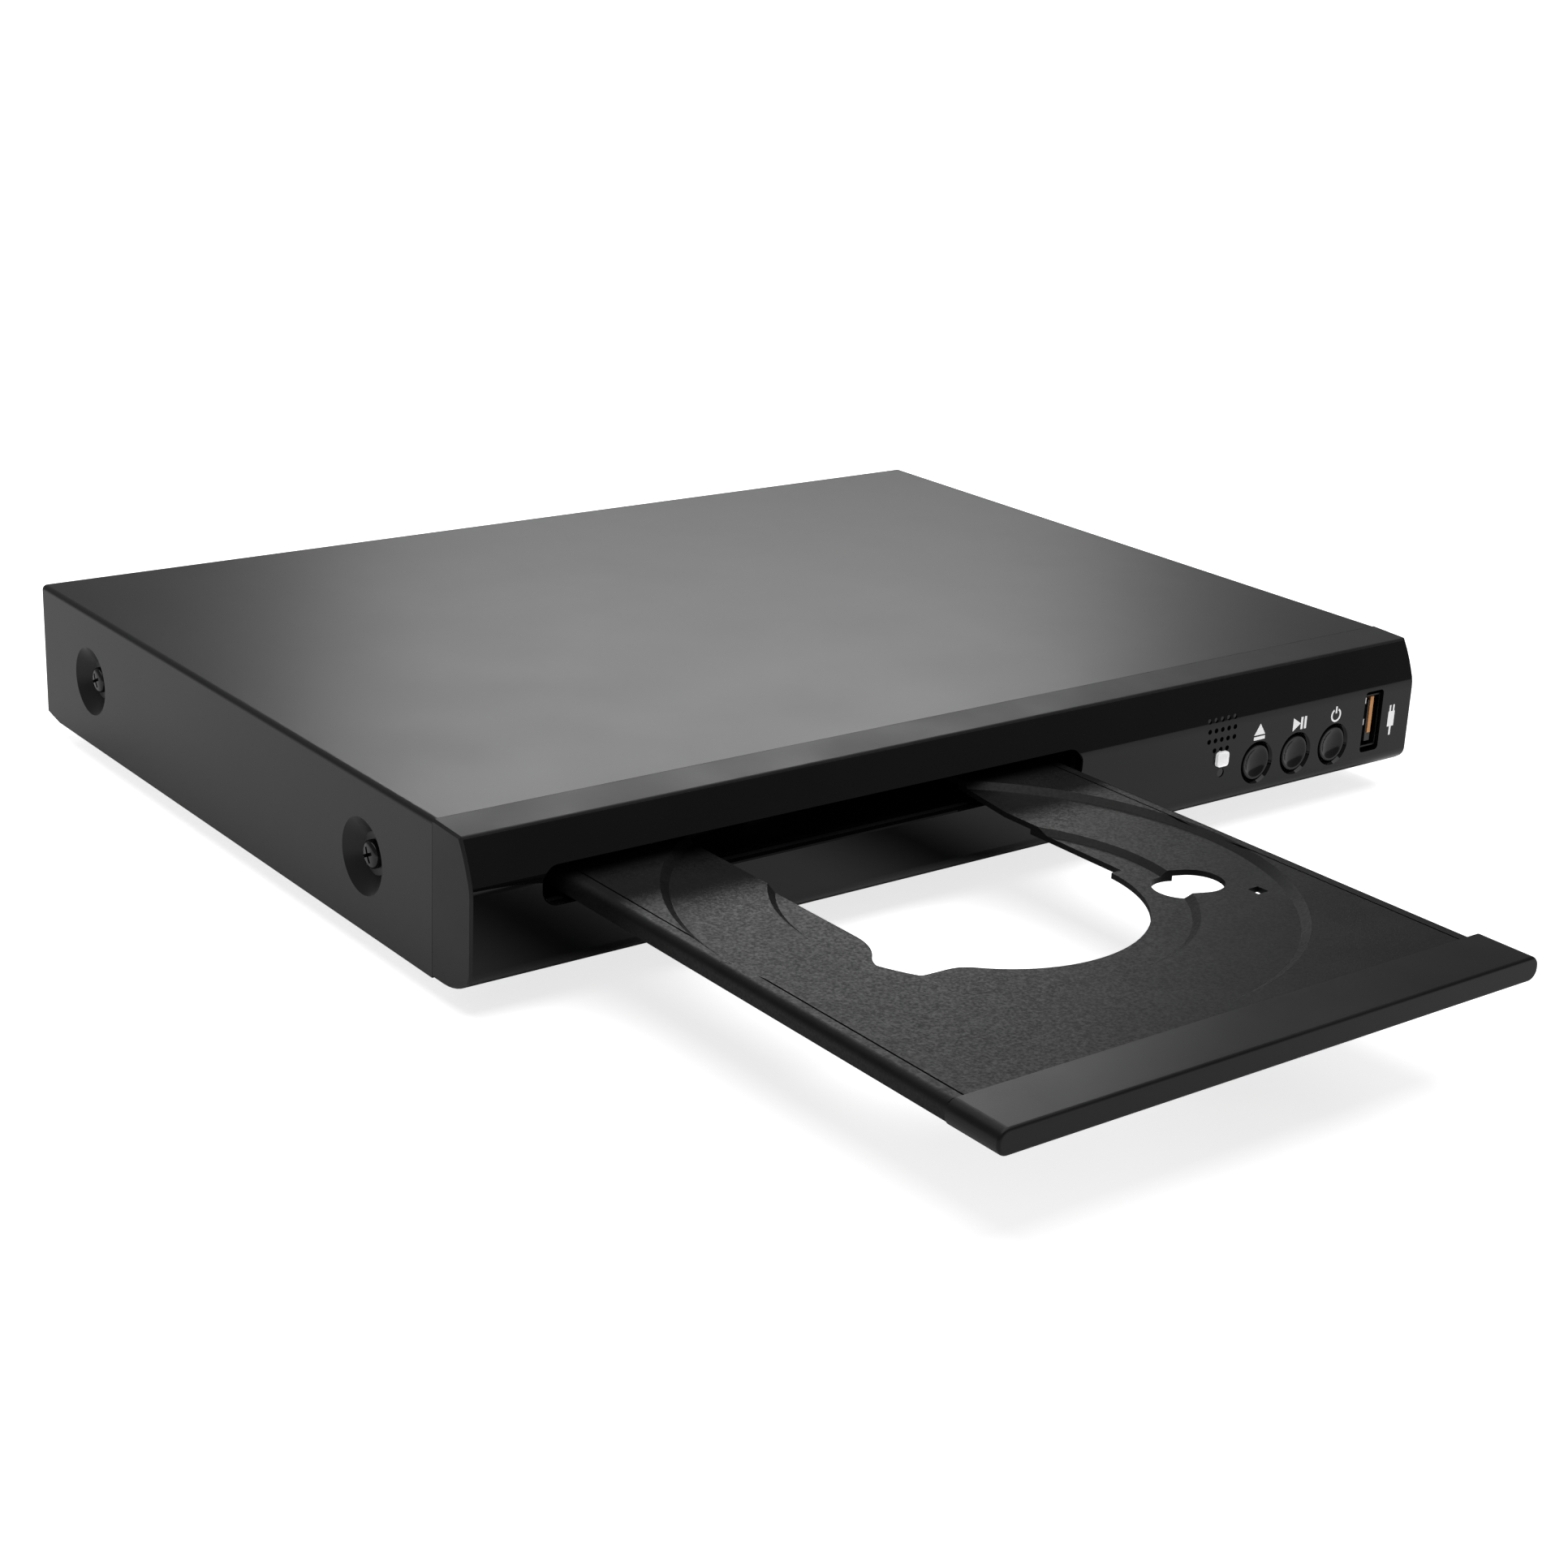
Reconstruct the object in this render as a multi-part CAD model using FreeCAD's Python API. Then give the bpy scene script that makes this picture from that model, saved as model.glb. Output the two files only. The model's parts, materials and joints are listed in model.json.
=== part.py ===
import FreeCAD, Part
import math
import os

V = FreeCAD.Vector
X_AXIS = V(1, 0, 0)
Y_AXIS = V(0, 1, 0)
Z_AXIS = V(0, 0, 1)

# Compact disc player with its tray out. Millimetres, +Z up, front towards -Y.
# The origin is on the table, under the middle of the player with its tray out.

# Body
BODY_WIDTH = 265.0
COVER_DEPTH = 183.0
COVER_HEIGHT = 32.7
BEZEL_DEPTH = 14.0
FOOT_HEIGHT = 5.0
FOOT_RADIUS = 8.0
FOOT_SIDE_INSET = 27.5
FOOT_END_INSET = 28.5
SHEET = 0.6
FOLD_RADIUS = 1.2
CHASSIS_SHEET = 0.8
SHEET_GAP = 0.1
PLASTIC_GAP = 0.3
SCREW_RADIUS = 1.5
SCREW_HEAD_RADIUS = 3.0
SCREW_HEAD_HEIGHT = 1.8
HOLE_GAP = 0.05

# Screw seats in the cover's sides
DIMPLE_RADIUS = 8.1
DIMPLE_FLOOR_RADIUS = 4.5
DIMPLE_DEPTH = 3.0
DIMPLE_UP = 15.9
DIMPLE_FRONT_BACK = 27.5
DIMPLE_REAR_BACK = 157.0
EAR_HALF_WIDTH = 11.0
EAR_HEIGHT = 22.0
PAN_LIP_HEIGHT = 4.0
COVER_SCREW_LENGTH = 6.0
REAR_FLANGE = 8.0
REAR_SCREW_INSET = 32.0
NOTCH_LENGTH = 6.4
NOTCH_HEIGHT = 1.2
VENT_COUNT = 12
VENT_INSET = 30.0
VENT_PITCH = 6.0
VENT_WIDTH = 3.0
VENT_UP = 8.0
VENT_HEIGHT = 15.0

# Front bezel and lens
STRIP_DEPTH = 9.75
STRIP_DROP = 0.4
STRIP_EDGE_RADIUS = 0.5
LENS_THICKNESS = 2.0
LENS_SIDE_INSET = 0.6
BEZEL_SKIN = 2.0
BEZEL_WALL = 1.5
CREASE_SETBACK = 0.75
CREASE_OVER_SLOT = 0.5
FACE_UNDER_CREASE = 3.7
CHIN_CORNER_UP = 5.5
CHIN_EDGE_UP = 3.1
CHIN_SETBACK = 1.25
CHIN_FOOT = 3.5
CHIN_FOOT_BULGE = 0.75
BEZEL_END_BEVEL = 0.5
STRIP_BULGE = 0.25
BROW_BULGE = 0.19
CHIN_BULGE = 0.3
LENS_TOP_RETURN = 1.75
LIP_LENGTH = 4.0

# Tray
TRAY_SIDE_INSET = 86.7
TRAY_WIDTH = 130.0
TRAY_TOP_UP = 21.1
TRAY_HEIGHT = 3.7
TRAY_PLATE = 1.5
TRAY_SKIRT = 2.0
TRAY_EDGE_RADIUS = 1.8
TRAY_OUT = 59.8
TRAY_FRONT_LENGTH = 65.8
TRAY_REAR_LENGTH = 97.8
REAR_BAR = 12.0
GROOVE_INSET = 3.7
GROOVE_WIDTH = 0.4
JOINT_GROOVE = 0.6
OUTER_TOP_RADIUS = 62.2
OUTER_FLOOR_RADIUS = 60.4
OUTER_DEPTH = 1.25
INNER_TOP_RADIUS = 41.6
INNER_FLOOR_RADIUS = 40.05
INNER_DEPTH = 1.1
BOWL_WALL = 1.2
OPENING_RADIUS = 32.2
LEFT_ARM = 31.9
LEFT_ARM_FRONT = 1.0
NECK_X = 35.6
NECK_FRONT = 10.1
NECK_BULGE = 0.96
LOBE_X = 32.4
LOBE_FRONT = 21.1
LOBE_BULGE = 3.05
LEDGE_X = 27.0
LEDGE_FRONT = 21.3
LEDGE_BULGE = 0.44
LEDGE_END_ANGLE = math.radians(46.0)
RIGHT_ARM = 34.8
RIGHT_ARM_FRONT = 2.0
RIGHT_FLARE = 3.0
FLARE_LENGTH = 19.0
FLARE_BACK = 33.0
OBLONG_X = 40.2
OBLONG_BACK = 15.2
OBLONG_LENGTH = 14.8
OBLONG_WIDTH = 12.0
OBLONG_TURN = -21.5
POCKET_X = 48.8
POCKET_FRONT = 25.8
POCKET_SIZE = 2.9
CAP_DEPTH = 13.0
CAP_HEIGHT = 5.0
CAP_OVER_TRAY = 0.4
CAP_LEFT_OVERHANG = 0.6
CAP_RIGHT_OVERHANG = 2.8
CAP_END_RADIUS = 2.3
CAP_EDGE = 0.6
TONGUE_LENGTH = 6.0
TONGUE_INSET = 6.0
TONGUE_HEIGHT = 2.0
TONGUE_GAP = 0.1
SLOT_LEFT = 5.6
SLOT_RIGHT = 3.6
SLOT_UNDER = 0.2
SLOT_HEIGHT = 7.95
SLOT_CORNER = 3.4
SLOT_BEVEL = 0.3
TRAY_TRAVEL = 124.5

# Controls on the right of the front
BUTTON_INSET = 27.2
BUTTON_PITCH = 13.0
BUTTON_UP = 10.9
BUTTON_RADIUS = 4.2
BUTTON_GAP = 0.1
BUTTON_RING_RADIUS = 5.2
BUTTON_RING_DEPTH = 1.2
BUTTON_RECESS = 0.2
BUTTON_TRAVEL = 0.5
BUTTON_FLANGE = 1.2
BUTTON_FLANGE_THICKNESS = 1.0
BUTTON_STEM_RADIUS = 1.5
BUTTON_STEM_LENGTH = 0.8
BUTTON_SKIN = 2.0
BUTTON_EDGE = 0.6
PLUNGER_SEAT = 0.3
PLUNGER_RADIUS = 1.4
PLUNGER_LENGTH = 1.2
SWITCH_SIZE = 6.0
SWITCH_DEPTH = 3.0
DOT_INSET = 61.7
DOT_PITCH = 2.05
DOT_ROW_PITCH = 2.4
DOT_RADIUS = 0.6
DOT_DEPTH = 0.5
DOT_TOP_UP = 23.5
DOT_COLUMNS = 5
DOT_ROWS = 3
DOT_FOOT_COLUMNS = 3
LED_HOLE_INSET = 65.1
LED_HOLE_UP = 10.5
LED_HOLE_RADIUS = 1.1
LED_RADIUS = 1.5
IR_WIDTH = 6.0
IR_HEIGHT = 7.0
IR_DEPTH = 3.0
IR_DOME_RADIUS = 2.5
IR_DOME_DEPTH = 1.5
USB_INSET = 13.9
USB_UP = 14.5
USB_OPENING_WIDTH = 6.4
USB_OPENING_HEIGHT = 15.2
USB_OPENING_CORNER = 1.0
USB_SHELL_WIDTH = 5.7
USB_SHELL_HEIGHT = 13.1
USB_SHELL_WALL = 0.35
USB_SETBACK = 0.8
USB_LENGTH = 13.0
USB_TONGUE = 1.8
USB_TONGUE_LENGTH = 9.6
USB_TONGUE_MARGIN = 1.0
USB_BLOCK = 3.2
FRONT_BOARD_WIDTH = 72.0
FRONT_BOARD_UP = 4.0
FRONT_BOARD_HEIGHT = 24.0
FRONT_BOARD_END = 3.6
BOARD = 1.6

# Loader frame
DECK_UP = 11.0
DECK = 1.6
DECK_FRONT = 2.0
DECK_REAR = 32.6
RAIL_GAP = 0.3
RAIL_WALL = 1.5
RAIL_LEDGE = 1.6
RAIL_LEDGE_HEIGHT = 2.0
LEDGE_GAP = 0.1
TAB_LENGTH = 8.0
TAB_FRONT = 4.0
TAB_MIDDLE = 92.0
TAB_REACH = 2.0
TAB_GAP = 0.1
TAB_THICKNESS = 1.2
FLANGE_WIDTH = 8.2
STANDOFF_HEIGHT = 2.2
STANDOFF_RADIUS = 4.0
STANDOFF_SETBACK = 0.5
RAIL_REAR_GAP = 1.0
CROSS_WALL = 1.6
TIE_HEIGHT = 3.0
BRACKET_REACH = 3.5
LOADER_SCREW_LENGTH = 9.0
LOADER_BOARD_WIDTH = 26.0
LOADER_BOARD_LENGTH = 20.0
LOADER_BOARD_INSET = 12.0
LOADER_PLUG_HEIGHT = 4.0

# Tray drive
PRESSURE = math.radians(25.0)
ADDENDUM = 0.8
DEDENDUM = 1.0
BACKLASH = 0.12
FLANK_STEPS = 3
RACK_MODULE = 1.0
RACK_PITCH_INSET = 3.2
RACK_OVERRUN = 8.0
RACK_LEAD_TEETH = 2
DRIVE_BACK = 18.0
DRIVE_TEETH = 17
REDUCTION_MODULE = 0.8
REDUCTION_TEETH = 28
REDUCTION_FACE = 2.0
PINION_TEETH = 12
GEAR_GAP = 0.3
AXLE_RADIUS = 1.5
AXLE_GAP = 0.05
HUB_RADIUS = 3.0
PULLEY_RADIUS = 10.0
PULLEY_FLANGE = 1.0
PULLEY_HEIGHT = 2.5
BELT_WIDTH = 1.2
BELT_GAP = 0.08
BELT_SIDE_GAP = 0.15
MOTOR_PULLEY_RADIUS = 2.5
MOTOR_BACK_X = 38.1
MOTOR_RADIUS = 8.5
MOTOR_HEIGHT = 7.2
MOTOR_SHAFT_RADIUS = 0.8

# Clamp
SPINDLE_BACK = 64.7
PUCK_OVER_DISC = 1.5
BRIDGE = 1.2
BRIDGE_POST = 9.0
BRIDGE_RING = 18.5
PUCK_RADIUS = 12.6
PUCK_FLANGE_RADIUS = 16.0
PUCK_FLANGE = 1.2
PUCK_HOLE_RADIUS = 13.2
PUCK_DROP = 1.8
PUCK_RECESS_RADIUS = 8.0
PUCK_RECESS = 1.7
PUCK_BASE = 0.5
MAGNET_OUTER = 9.5
MAGNET_INNER = 4.0

# Lifter and traverse, drawn level with the disc clamped
PIVOT_BACK = 152.0
PIVOT_UP = 11.5
PIVOT_RADIUS = 2.0
PIVOT_LENGTH = 2.6
DROP = math.radians(4.27)
DISC_OVER_TRAY = 0.1
LIFTER_HALF = 36.0
LIFTER_INNER = 31.0
LIFTER_FRONT = 37.0
LIFTER_BAR = 6.0
LIFTER_TAIL = 4.0
LIFTER = 3.0
PIN_SPREAD = 22.0
PIN_OVER_PIVOT = 2.7
PIN_RADIUS = 1.5
PIN_LENGTH = 3.6
PIN_BLOCK = 3.0
CAM_FRONT = 33.0
CAM = 1.6
CAM_SHIFT = 18.0
CAM_SLOT_GAP = 0.3
CAM_END = 5.0
CAM_TOP_WALL = 1.1
CAM_FOOT_WALL = 1.1
CAM_GUIDE_FLOOR = 1.0
CAM_GUIDE_LIP = 1.2
CAM_GUIDE_WALL = 1.0
EAR_RADIUS = 5.0
EAR_SPREAD = 25.5
EAR_FRONT = 46.0
EAR_REAR = 145.0
DAMPER_RADIUS = 4.2
DAMPER_WAIST = 2.9
DAMPER_FLANGE = 1.5
DAMPER_CAP = 0.8
DAMPER_SCREW_HEAD = 0.7
DAMPER_SCREW_RADIUS = 1.2
TRAVERSE = 1.2
TRAVERSE_HALF = 29.0
TRAVERSE_FRONT = 41.5
TRAVERSE_REAR = 149.5
WINDOW_HALF = 18.6
WINDOW_GAP = 0.8
SPINDLE_HOLE_RADIUS = 6.0
SPINDLE_MOTOR_RADIUS = 11.0
SPINDLE_MOTOR_HEIGHT = 5.9
SPINDLE_SHAFT_RADIUS = 1.0
SPINDLE_SHAFT_GAP = 0.08
TURNTABLE_RADIUS = 15.0
TURNTABLE = 2.8
TURNTABLE_HUB = 4.0
BOSS_RADIUS = 7.4
BOSS_TIP_RADIUS = 5.2
BOSS_HEIGHT = 2.2
PAD_INNER = 11.5
PAD = 0.5
GUIDE_SPREAD = 20.0
GUIDE_RADIUS = 1.5
GUIDE_GAP = 0.05
GUIDE_BLOCK = 2.6
GUIDE_BLOCK_HALF = 2.4
SLED_STOP_GAP = 0.4
SLED_FRONT = 14.0
SLED_LENGTH = 22.0
SLED_STEP = 1.5
SLED_TOP_HALF = 17.6
SLED_UNDER_DISC = 3.6
LENS_RIM = 2.0
LENS_RIM_UNDER = 0.8
SLED_LENS = 23.0
SLED_TRAVEL = 36.0
BUSH_WALL = 1.3
LENS_RADIUS = 3.4
LENS_UNDER_DISC = 1.5
LEAD_LINE = 26.6
LEAD_RADIUS = 1.5
LEAD_CORE_RADIUS = 0.8
NUT_LENGTH = 4.0
NUT_WALL = 1.1
NUT_BACK = 8.0
STEPPER_RADIUS = 3.4
STEPPER_LENGTH = 11.0
STEPPER_SETBACK = 1.0

# Boards and connectors
BOARD_UP = 6.0
MAIN_BOARD_INSET = 45.5
MAIN_BOARD_WIDTH = 54.0
MAIN_BOARD_LENGTH = 103.0
POWER_BOARD_INSET = 5.5
POWER_BOARD_WIDTH = 36.0
POWER_BOARD_LENGTH = 118.0
BOARD_REAR_GAP = 3.0
BOARD_SCREW_INSET = 4.0
BOARD_SCREW_REAR_INSET = 24.0
INSULATION = 0.4
HDMI_WIDTH = 15.0
HDMI_HEIGHT = 6.0
HDMI_LENGTH = 12.0
HDMI_INSET = 8.5
JACK_PITCH = 11.0
JACK_RADIUS = 4.15
JACK_REACH = 8.5
JACK_BORE_RADIUS = 1.7
JACK_COUNT = 3
JACK_BLOCK_LENGTH = 12.0
JACK_BLOCK_HEIGHT = 15.0
JACK_INSET = 36.0
INLET_WIDTH = 20.0
INLET_HEIGHT = 12.0
INLET_LENGTH = 18.0
INLET_RECESS_WIDTH = 17.4
INLET_RECESS_HEIGHT = 8.8
INLET_RECESS_DEPTH = 12.0
INLET_PIN_SPREAD = 4.3
INLET_PIN_RADIUS = 1.2
INLET_PIN_SETBACK = 2.0
HDMI_WALL = 0.5
HDMI_BACK = 2.0
HDMI_TONGUE_SETBACK = 1.5
CHIP_HEIGHT = 1.4
DECODER_SIZE = 20.0
SMALL_CAN_RADIUS = 3.2
SMALL_CAN_HEIGHT = 8.0
SMALL_CAN_PITCH = 7.7
SMALL_CAN_INSET = 8.0
SMALL_CAN_SHARE = 0.68
POWER_CAN_COUNT = 3
POWER_CAN_FRONT = 16.0
MAINS_CAN_RADIUS = 6.5
MAINS_CAN_HEIGHT = 18.0
MAINS_CAN_INSET = 14.0
MAINS_CAN_SHARE = 0.68
CORE_WIDTH = 22.0
CORE_LENGTH = 20.0
CORE_UP = 4.0
CORE_HEIGHT = 9.0
BOBBIN_WIDTH = 16.0
BOBBIN_LENGTH = 26.0
BOBBIN_HEIGHT = 17.0
TRANSFORMER_SHARE = 0.45
SINK_INSET = 4.0
SINK_LENGTH = 22.0
SINK_HEIGHT = 18.0
SINK_PLATE = 2.0
SINK_DEPTH = 5.0
SINK_FIN = 1.5
SINK_FIN_PITCH = 5.0
SINK_FIN_COUNT = 5
SINK_SHARE = 0.55
HEADER_HEIGHT = 5.0
HEADER_LENGTH = 5.0
HEADER_WALL = 0.8
BOARD_SCREW_LENGTH = 5.0

# Cables
CABLE_WIDTH = 12.0
RIBBON = 0.4
CABLE_BEND = 2.5
CABLE_RADIUS = 1.0
CABLE_BEND_SHARE = 0.45
FRONT_CABLE_INSET = 70.0
FRONT_CABLE_UP = 11.0
POWER_CABLE_BACK = 110.0
PICKUP_CABLE_BACK = 92.0
LOADER_PLUG_INSET = 84.5
PICKUP_END_UP = 2.2


# Levels and places that follow from the sizes above
TRAY_REACH = TRAY_OUT + TRAY_FRONT_LENGTH + CAP_DEPTH
REAR_REACH = COVER_DEPTH - SHEET + JACK_REACH
JOINT_Y = (TRAY_REACH - REAR_REACH) / 2
REAR_Y = JOINT_Y + COVER_DEPTH
FRONT_Y = JOINT_Y - BEZEL_DEPTH
PANEL_Y = REAR_Y - SHEET
HALF = BODY_WIDTH / 2
EAR_X = HALF - DIMPLE_DEPTH - SHEET
SILL_Z = FOOT_HEIGHT
TOP_Z = SILL_Z + COVER_HEIGHT
FLOOR_Z = SILL_Z + CHASSIS_SHEET
TRAY_X = TRAY_SIDE_INSET - HALF
TRAY_LEFT = TRAY_X - TRAY_WIDTH / 2
TRAY_RIGHT = TRAY_X + TRAY_WIDTH / 2
TRAY_TOP_Z = SILL_Z + TRAY_TOP_UP
TRAY_FOOT_Z = TRAY_TOP_Z - TRAY_HEIGHT
TRAY_PLATE_Z = TRAY_TOP_Z - TRAY_PLATE
DISC_Y = JOINT_Y - TRAY_OUT
TRAY_FRONT_Y = DISC_Y - TRAY_FRONT_LENGTH
TRAY_REAR_Y = DISC_Y + TRAY_REAR_LENGTH
OUTER_FLOOR_Z = TRAY_TOP_Z - OUTER_DEPTH
INNER_FLOOR_Z = OUTER_FLOOR_Z - INNER_DEPTH
CAP_TOP_Z = TRAY_TOP_Z + CAP_OVER_TRAY
CAP_FOOT_Z = CAP_TOP_Z - CAP_HEIGHT
SLOT_FOOT_Z = CAP_FOOT_Z - SLOT_UNDER
SLOT_TOP_Z = SLOT_FOOT_Z + SLOT_HEIGHT
SLOT_X0 = TRAY_LEFT - SLOT_LEFT
SLOT_X1 = TRAY_RIGHT + SLOT_RIGHT
LENS_BACK_Y = FRONT_Y + LENS_THICKNESS
WALL_BACK_Y = LENS_BACK_Y + BEZEL_WALL
USB_X = HALF - USB_INSET
USB_Z = SILL_Z + USB_UP
BUTTON_Z = SILL_Z + BUTTON_UP
LED_X = HALF - LED_HOLE_INSET
LED_Z = SILL_Z + LED_HOLE_UP
DOT_X = HALF - DOT_INSET
DOT_Z = SILL_Z + DOT_TOP_UP - DOT_ROW_PITCH * (DOT_ROWS - 1)
SWITCH_Y = WALL_BACK_Y + BUTTON_FLANGE_THICKNESS + BUTTON_STEM_LENGTH + PLUNGER_LENGTH
FRONT_BOARD_Y = SWITCH_Y + SWITCH_DEPTH
DECK_TOP_Z = SILL_Z + DECK_UP
DECK_FOOT_Z = DECK_TOP_Z - DECK
RAIL_LEFT = TRAY_LEFT - RAIL_GAP
RAIL_RIGHT = TRAY_RIGHT + RAIL_GAP
RAIL_FRONT_Y = JOINT_Y + DECK_FRONT
RAIL_REAR_Y = TRAY_REAR_Y + TRAY_TRAVEL + RAIL_REAR_GAP + CROSS_WALL
LOADER_SEAT_Z = FLOOR_Z + STANDOFF_HEIGHT
DISC_Z = TRAY_TOP_Z + DISC_OVER_TRAY
PUCK_Z = DISC_Z + PUCK_OVER_DISC
BRIDGE_Z = PUCK_Z + PUCK_DROP
BRIDGE_TOP_Z = BRIDGE_Z + BRIDGE
SPINDLE_Y = JOINT_Y + SPINDLE_BACK
DRIVE_Y = JOINT_Y + DRIVE_BACK
RACK_X = TRAY_LEFT + RACK_PITCH_INSET
DRIVE_X = RACK_X + RACK_MODULE * DRIVE_TEETH / 2
PULLEY_X = DRIVE_X + REDUCTION_MODULE * (REDUCTION_TEETH + PINION_TEETH) / 2
MOTOR_X = PULLEY_X + MOTOR_BACK_X
BOWL_FOOT_Z = OUTER_FLOOR_Z - BOWL_WALL
INNER_BOWL_FOOT_Z = INNER_FLOOR_Z - BOWL_WALL
DRIVE_TOP_Z = BOWL_FOOT_Z - GEAR_GAP
REDUCTION_TOP_Z = TRAY_FOOT_Z - GEAR_GAP
REDUCTION_FOOT_Z = REDUCTION_TOP_Z - REDUCTION_FACE
PULLEY_Z = DECK_TOP_Z + GEAR_GAP
PULLEY_TOP_Z = PULLEY_Z + PULLEY_HEIGHT
BELT_Z = PULLEY_Z + (PULLEY_HEIGHT - BELT_WIDTH) / 2
PIVOT_Y = JOINT_Y + PIVOT_BACK
PIVOT_Z = SILL_Z + PIVOT_UP
LIFTER_Z = PIVOT_Z - LIFTER / 2
LIFTER_TOP_Z = PIVOT_Z + LIFTER / 2
TRAVERSE_Z = LIFTER_TOP_Z + DAMPER_FLANGE
TRAVERSE_TOP_Z = TRAVERSE_Z + TRAVERSE
PIN_Z = PIVOT_Z + PIN_OVER_PIVOT
BOARD_Z = SILL_Z + BOARD_UP
BOARD_TOP_Z = BOARD_Z + BOARD
BOARD_REAR_Y = PANEL_Y - CHASSIS_SHEET - BOARD_REAR_GAP
GUIDE_Z = TRAVERSE_Z - GUIDE_RADIUS - GUIDE_GAP - BUSH_WALL - GUIDE_GAP * 4
SLED_Y0 = SPINDLE_Y + SLED_FRONT
SLED_Y1 = SLED_Y0 + SLED_LENGTH
SLED_FOOT_Z = GUIDE_Z - GUIDE_RADIUS - GUIDE_GAP - BUSH_WALL
SLED_WAIST_Z = GUIDE_Z + GUIDE_RADIUS
SLED_TOP_Z = DISC_Z - SLED_UNDER_DISC
GUIDE_Y0 = SLED_Y0 - SLED_STOP_GAP - GUIDE_BLOCK
GUIDE_Y1 = SLED_Y1 + SLED_TRAVEL + SLED_STOP_GAP + GUIDE_BLOCK
LENS_Y = SPINDLE_Y + SLED_LENS
LEAD_X = TRAY_X + LEAD_LINE
LEAD_Z = TRAVERSE_Z - STEPPER_RADIUS
LEAD_Y0 = SLED_Y0 - STEPPER_SETBACK
CAM_Y = JOINT_Y + CAM_FRONT
CAM_MID_Y = CAM_Y + CAM / 2
PIN_LOW_Z = PIVOT_Z + (CAM_MID_Y - PIVOT_Y) * math.sin(DROP) + PIN_OVER_PIVOT * math.cos(DROP)
CAM_SLOT_RADIUS = PIN_RADIUS + CAM_SLOT_GAP
CAM_FOOT_Z = PIN_LOW_Z - CAM_SLOT_RADIUS - CAM_FOOT_WALL
CAM_TOP_Z = PIN_Z + CAM_SLOT_RADIUS + CAM_TOP_WALL
CAM_X0 = TRAY_X - PIN_SPREAD - CAM_SHIFT - CAM_SLOT_RADIUS - CAM_END
CAM_X1 = TRAY_X + PIN_SPREAD + CAM_SLOT_RADIUS + CAM_END
MAIN_X0 = HALF - MAIN_BOARD_INSET - MAIN_BOARD_WIDTH
MAIN_X1 = MAIN_X0 + MAIN_BOARD_WIDTH
MAIN_Y0 = BOARD_REAR_Y - MAIN_BOARD_LENGTH
POWER_X1 = HALF - POWER_BOARD_INSET
POWER_X0 = POWER_X1 - POWER_BOARD_WIDTH
POWER_Y0 = BOARD_REAR_Y - POWER_BOARD_LENGTH
FRONT_CABLE_X = HALF - FRONT_CABLE_INSET
FRONT_CABLE_Z = SILL_Z + FRONT_CABLE_UP
POWER_CABLE_Y = JOINT_Y + POWER_CABLE_BACK
PICKUP_CABLE_Y = JOINT_Y + PICKUP_CABLE_BACK
LOADER_PLUG_X = HALF - LOADER_PLUG_INSET
PICKUP_END_Z = FLOOR_Z + PICKUP_END_UP


def box(x0, x1, y0, y1, z0, z1):
    return Part.makeBox(x1 - x0, y1 - y0, z1 - z0, V(x0, y0, z0))


def post(radius, x, y, z0, z1):
    return Part.makeCylinder(radius, z1 - z0, V(x, y, z0))


def rod_y(radius, x, z, y0, y1):
    return Part.makeCylinder(radius, y1 - y0, V(x, y0, z), Y_AXIS)


def rod_x(radius, y, z, x0, x1):
    return Part.makeCylinder(radius, x1 - x0, V(x0, y, z), X_AXIS)


def join(first, *others):
    return first.fuse(list(others)).removeSplitter()


def trim(solid, *tools):
    return solid.cut(list(tools))


def prism(points, length):
    """A closed outline of points, pushed along a vector."""
    return Part.Face(Part.makePolygon(points + [points[0]])).extrude(length)


def rounded(solid, axis, radius, wanted=lambda point: True):
    """Fillet the straight edges that run along an axis and pass the test."""
    def runs_along(edge):
        direction = edge.tangentAt(edge.FirstParameter)
        return abs(direction.dot(axis)) > 0.999 and edge.Curve.TypeId == "Part::GeomLine"
    edges = [e for e in solid.Edges if runs_along(e) and wanted(e.CenterOfMass)]
    return solid.makeFillet(radius, edges)


def turned(solid, x, y, degrees):
    solid.rotate(V(x, y, 0), Z_AXIS, degrees)
    return solid


def mirrored(solid):
    return solid.mirror(V(0, 0, 0), X_AXIS)


def bow(start, end, bulge):
    """An arc from start to end that stands off its chord by bulge, towards -Y."""
    middle = (start + end) * 0.5
    along = end - start
    aside = V(0, -abs(along.z), along.y if along.z > 0 else -along.y)
    aside.normalize()
    return Part.Arc(start, middle + aside * bulge, end).toShape()


def line(start, end):
    return Part.LineSegment(start, end).toShape()


def pan_screw(place, direction, length):
    """A pan-head screw with its head seated at place, pointing along direction."""
    head = Part.makeCylinder(SCREW_HEAD_RADIUS, SCREW_HEAD_HEIGHT, place, direction * -1)
    half = SCREW_HEAD_HEIGHT / 2
    rings = [e for e in head.Edges if e.Curve.TypeId == "Part::GeomCircle"]
    rim = [e for e in rings if e.BoundBox.Center.distanceToPoint(place) > half]
    head = head.makeFillet(half, rim)
    shank = Part.makeCylinder(SCREW_RADIUS, length, place, direction)
    return join(head, shank)


def flat_screw(place, direction, length):
    """A small disc-head screw, its head seated at place, pointing along direction."""
    head = Part.makeCylinder(SCREW_HEAD_RADIUS, SCREW_HEAD_HEIGHT, place, direction * -1)
    return join(head, Part.makeCylinder(SCREW_RADIUS, length, place, direction))


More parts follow.
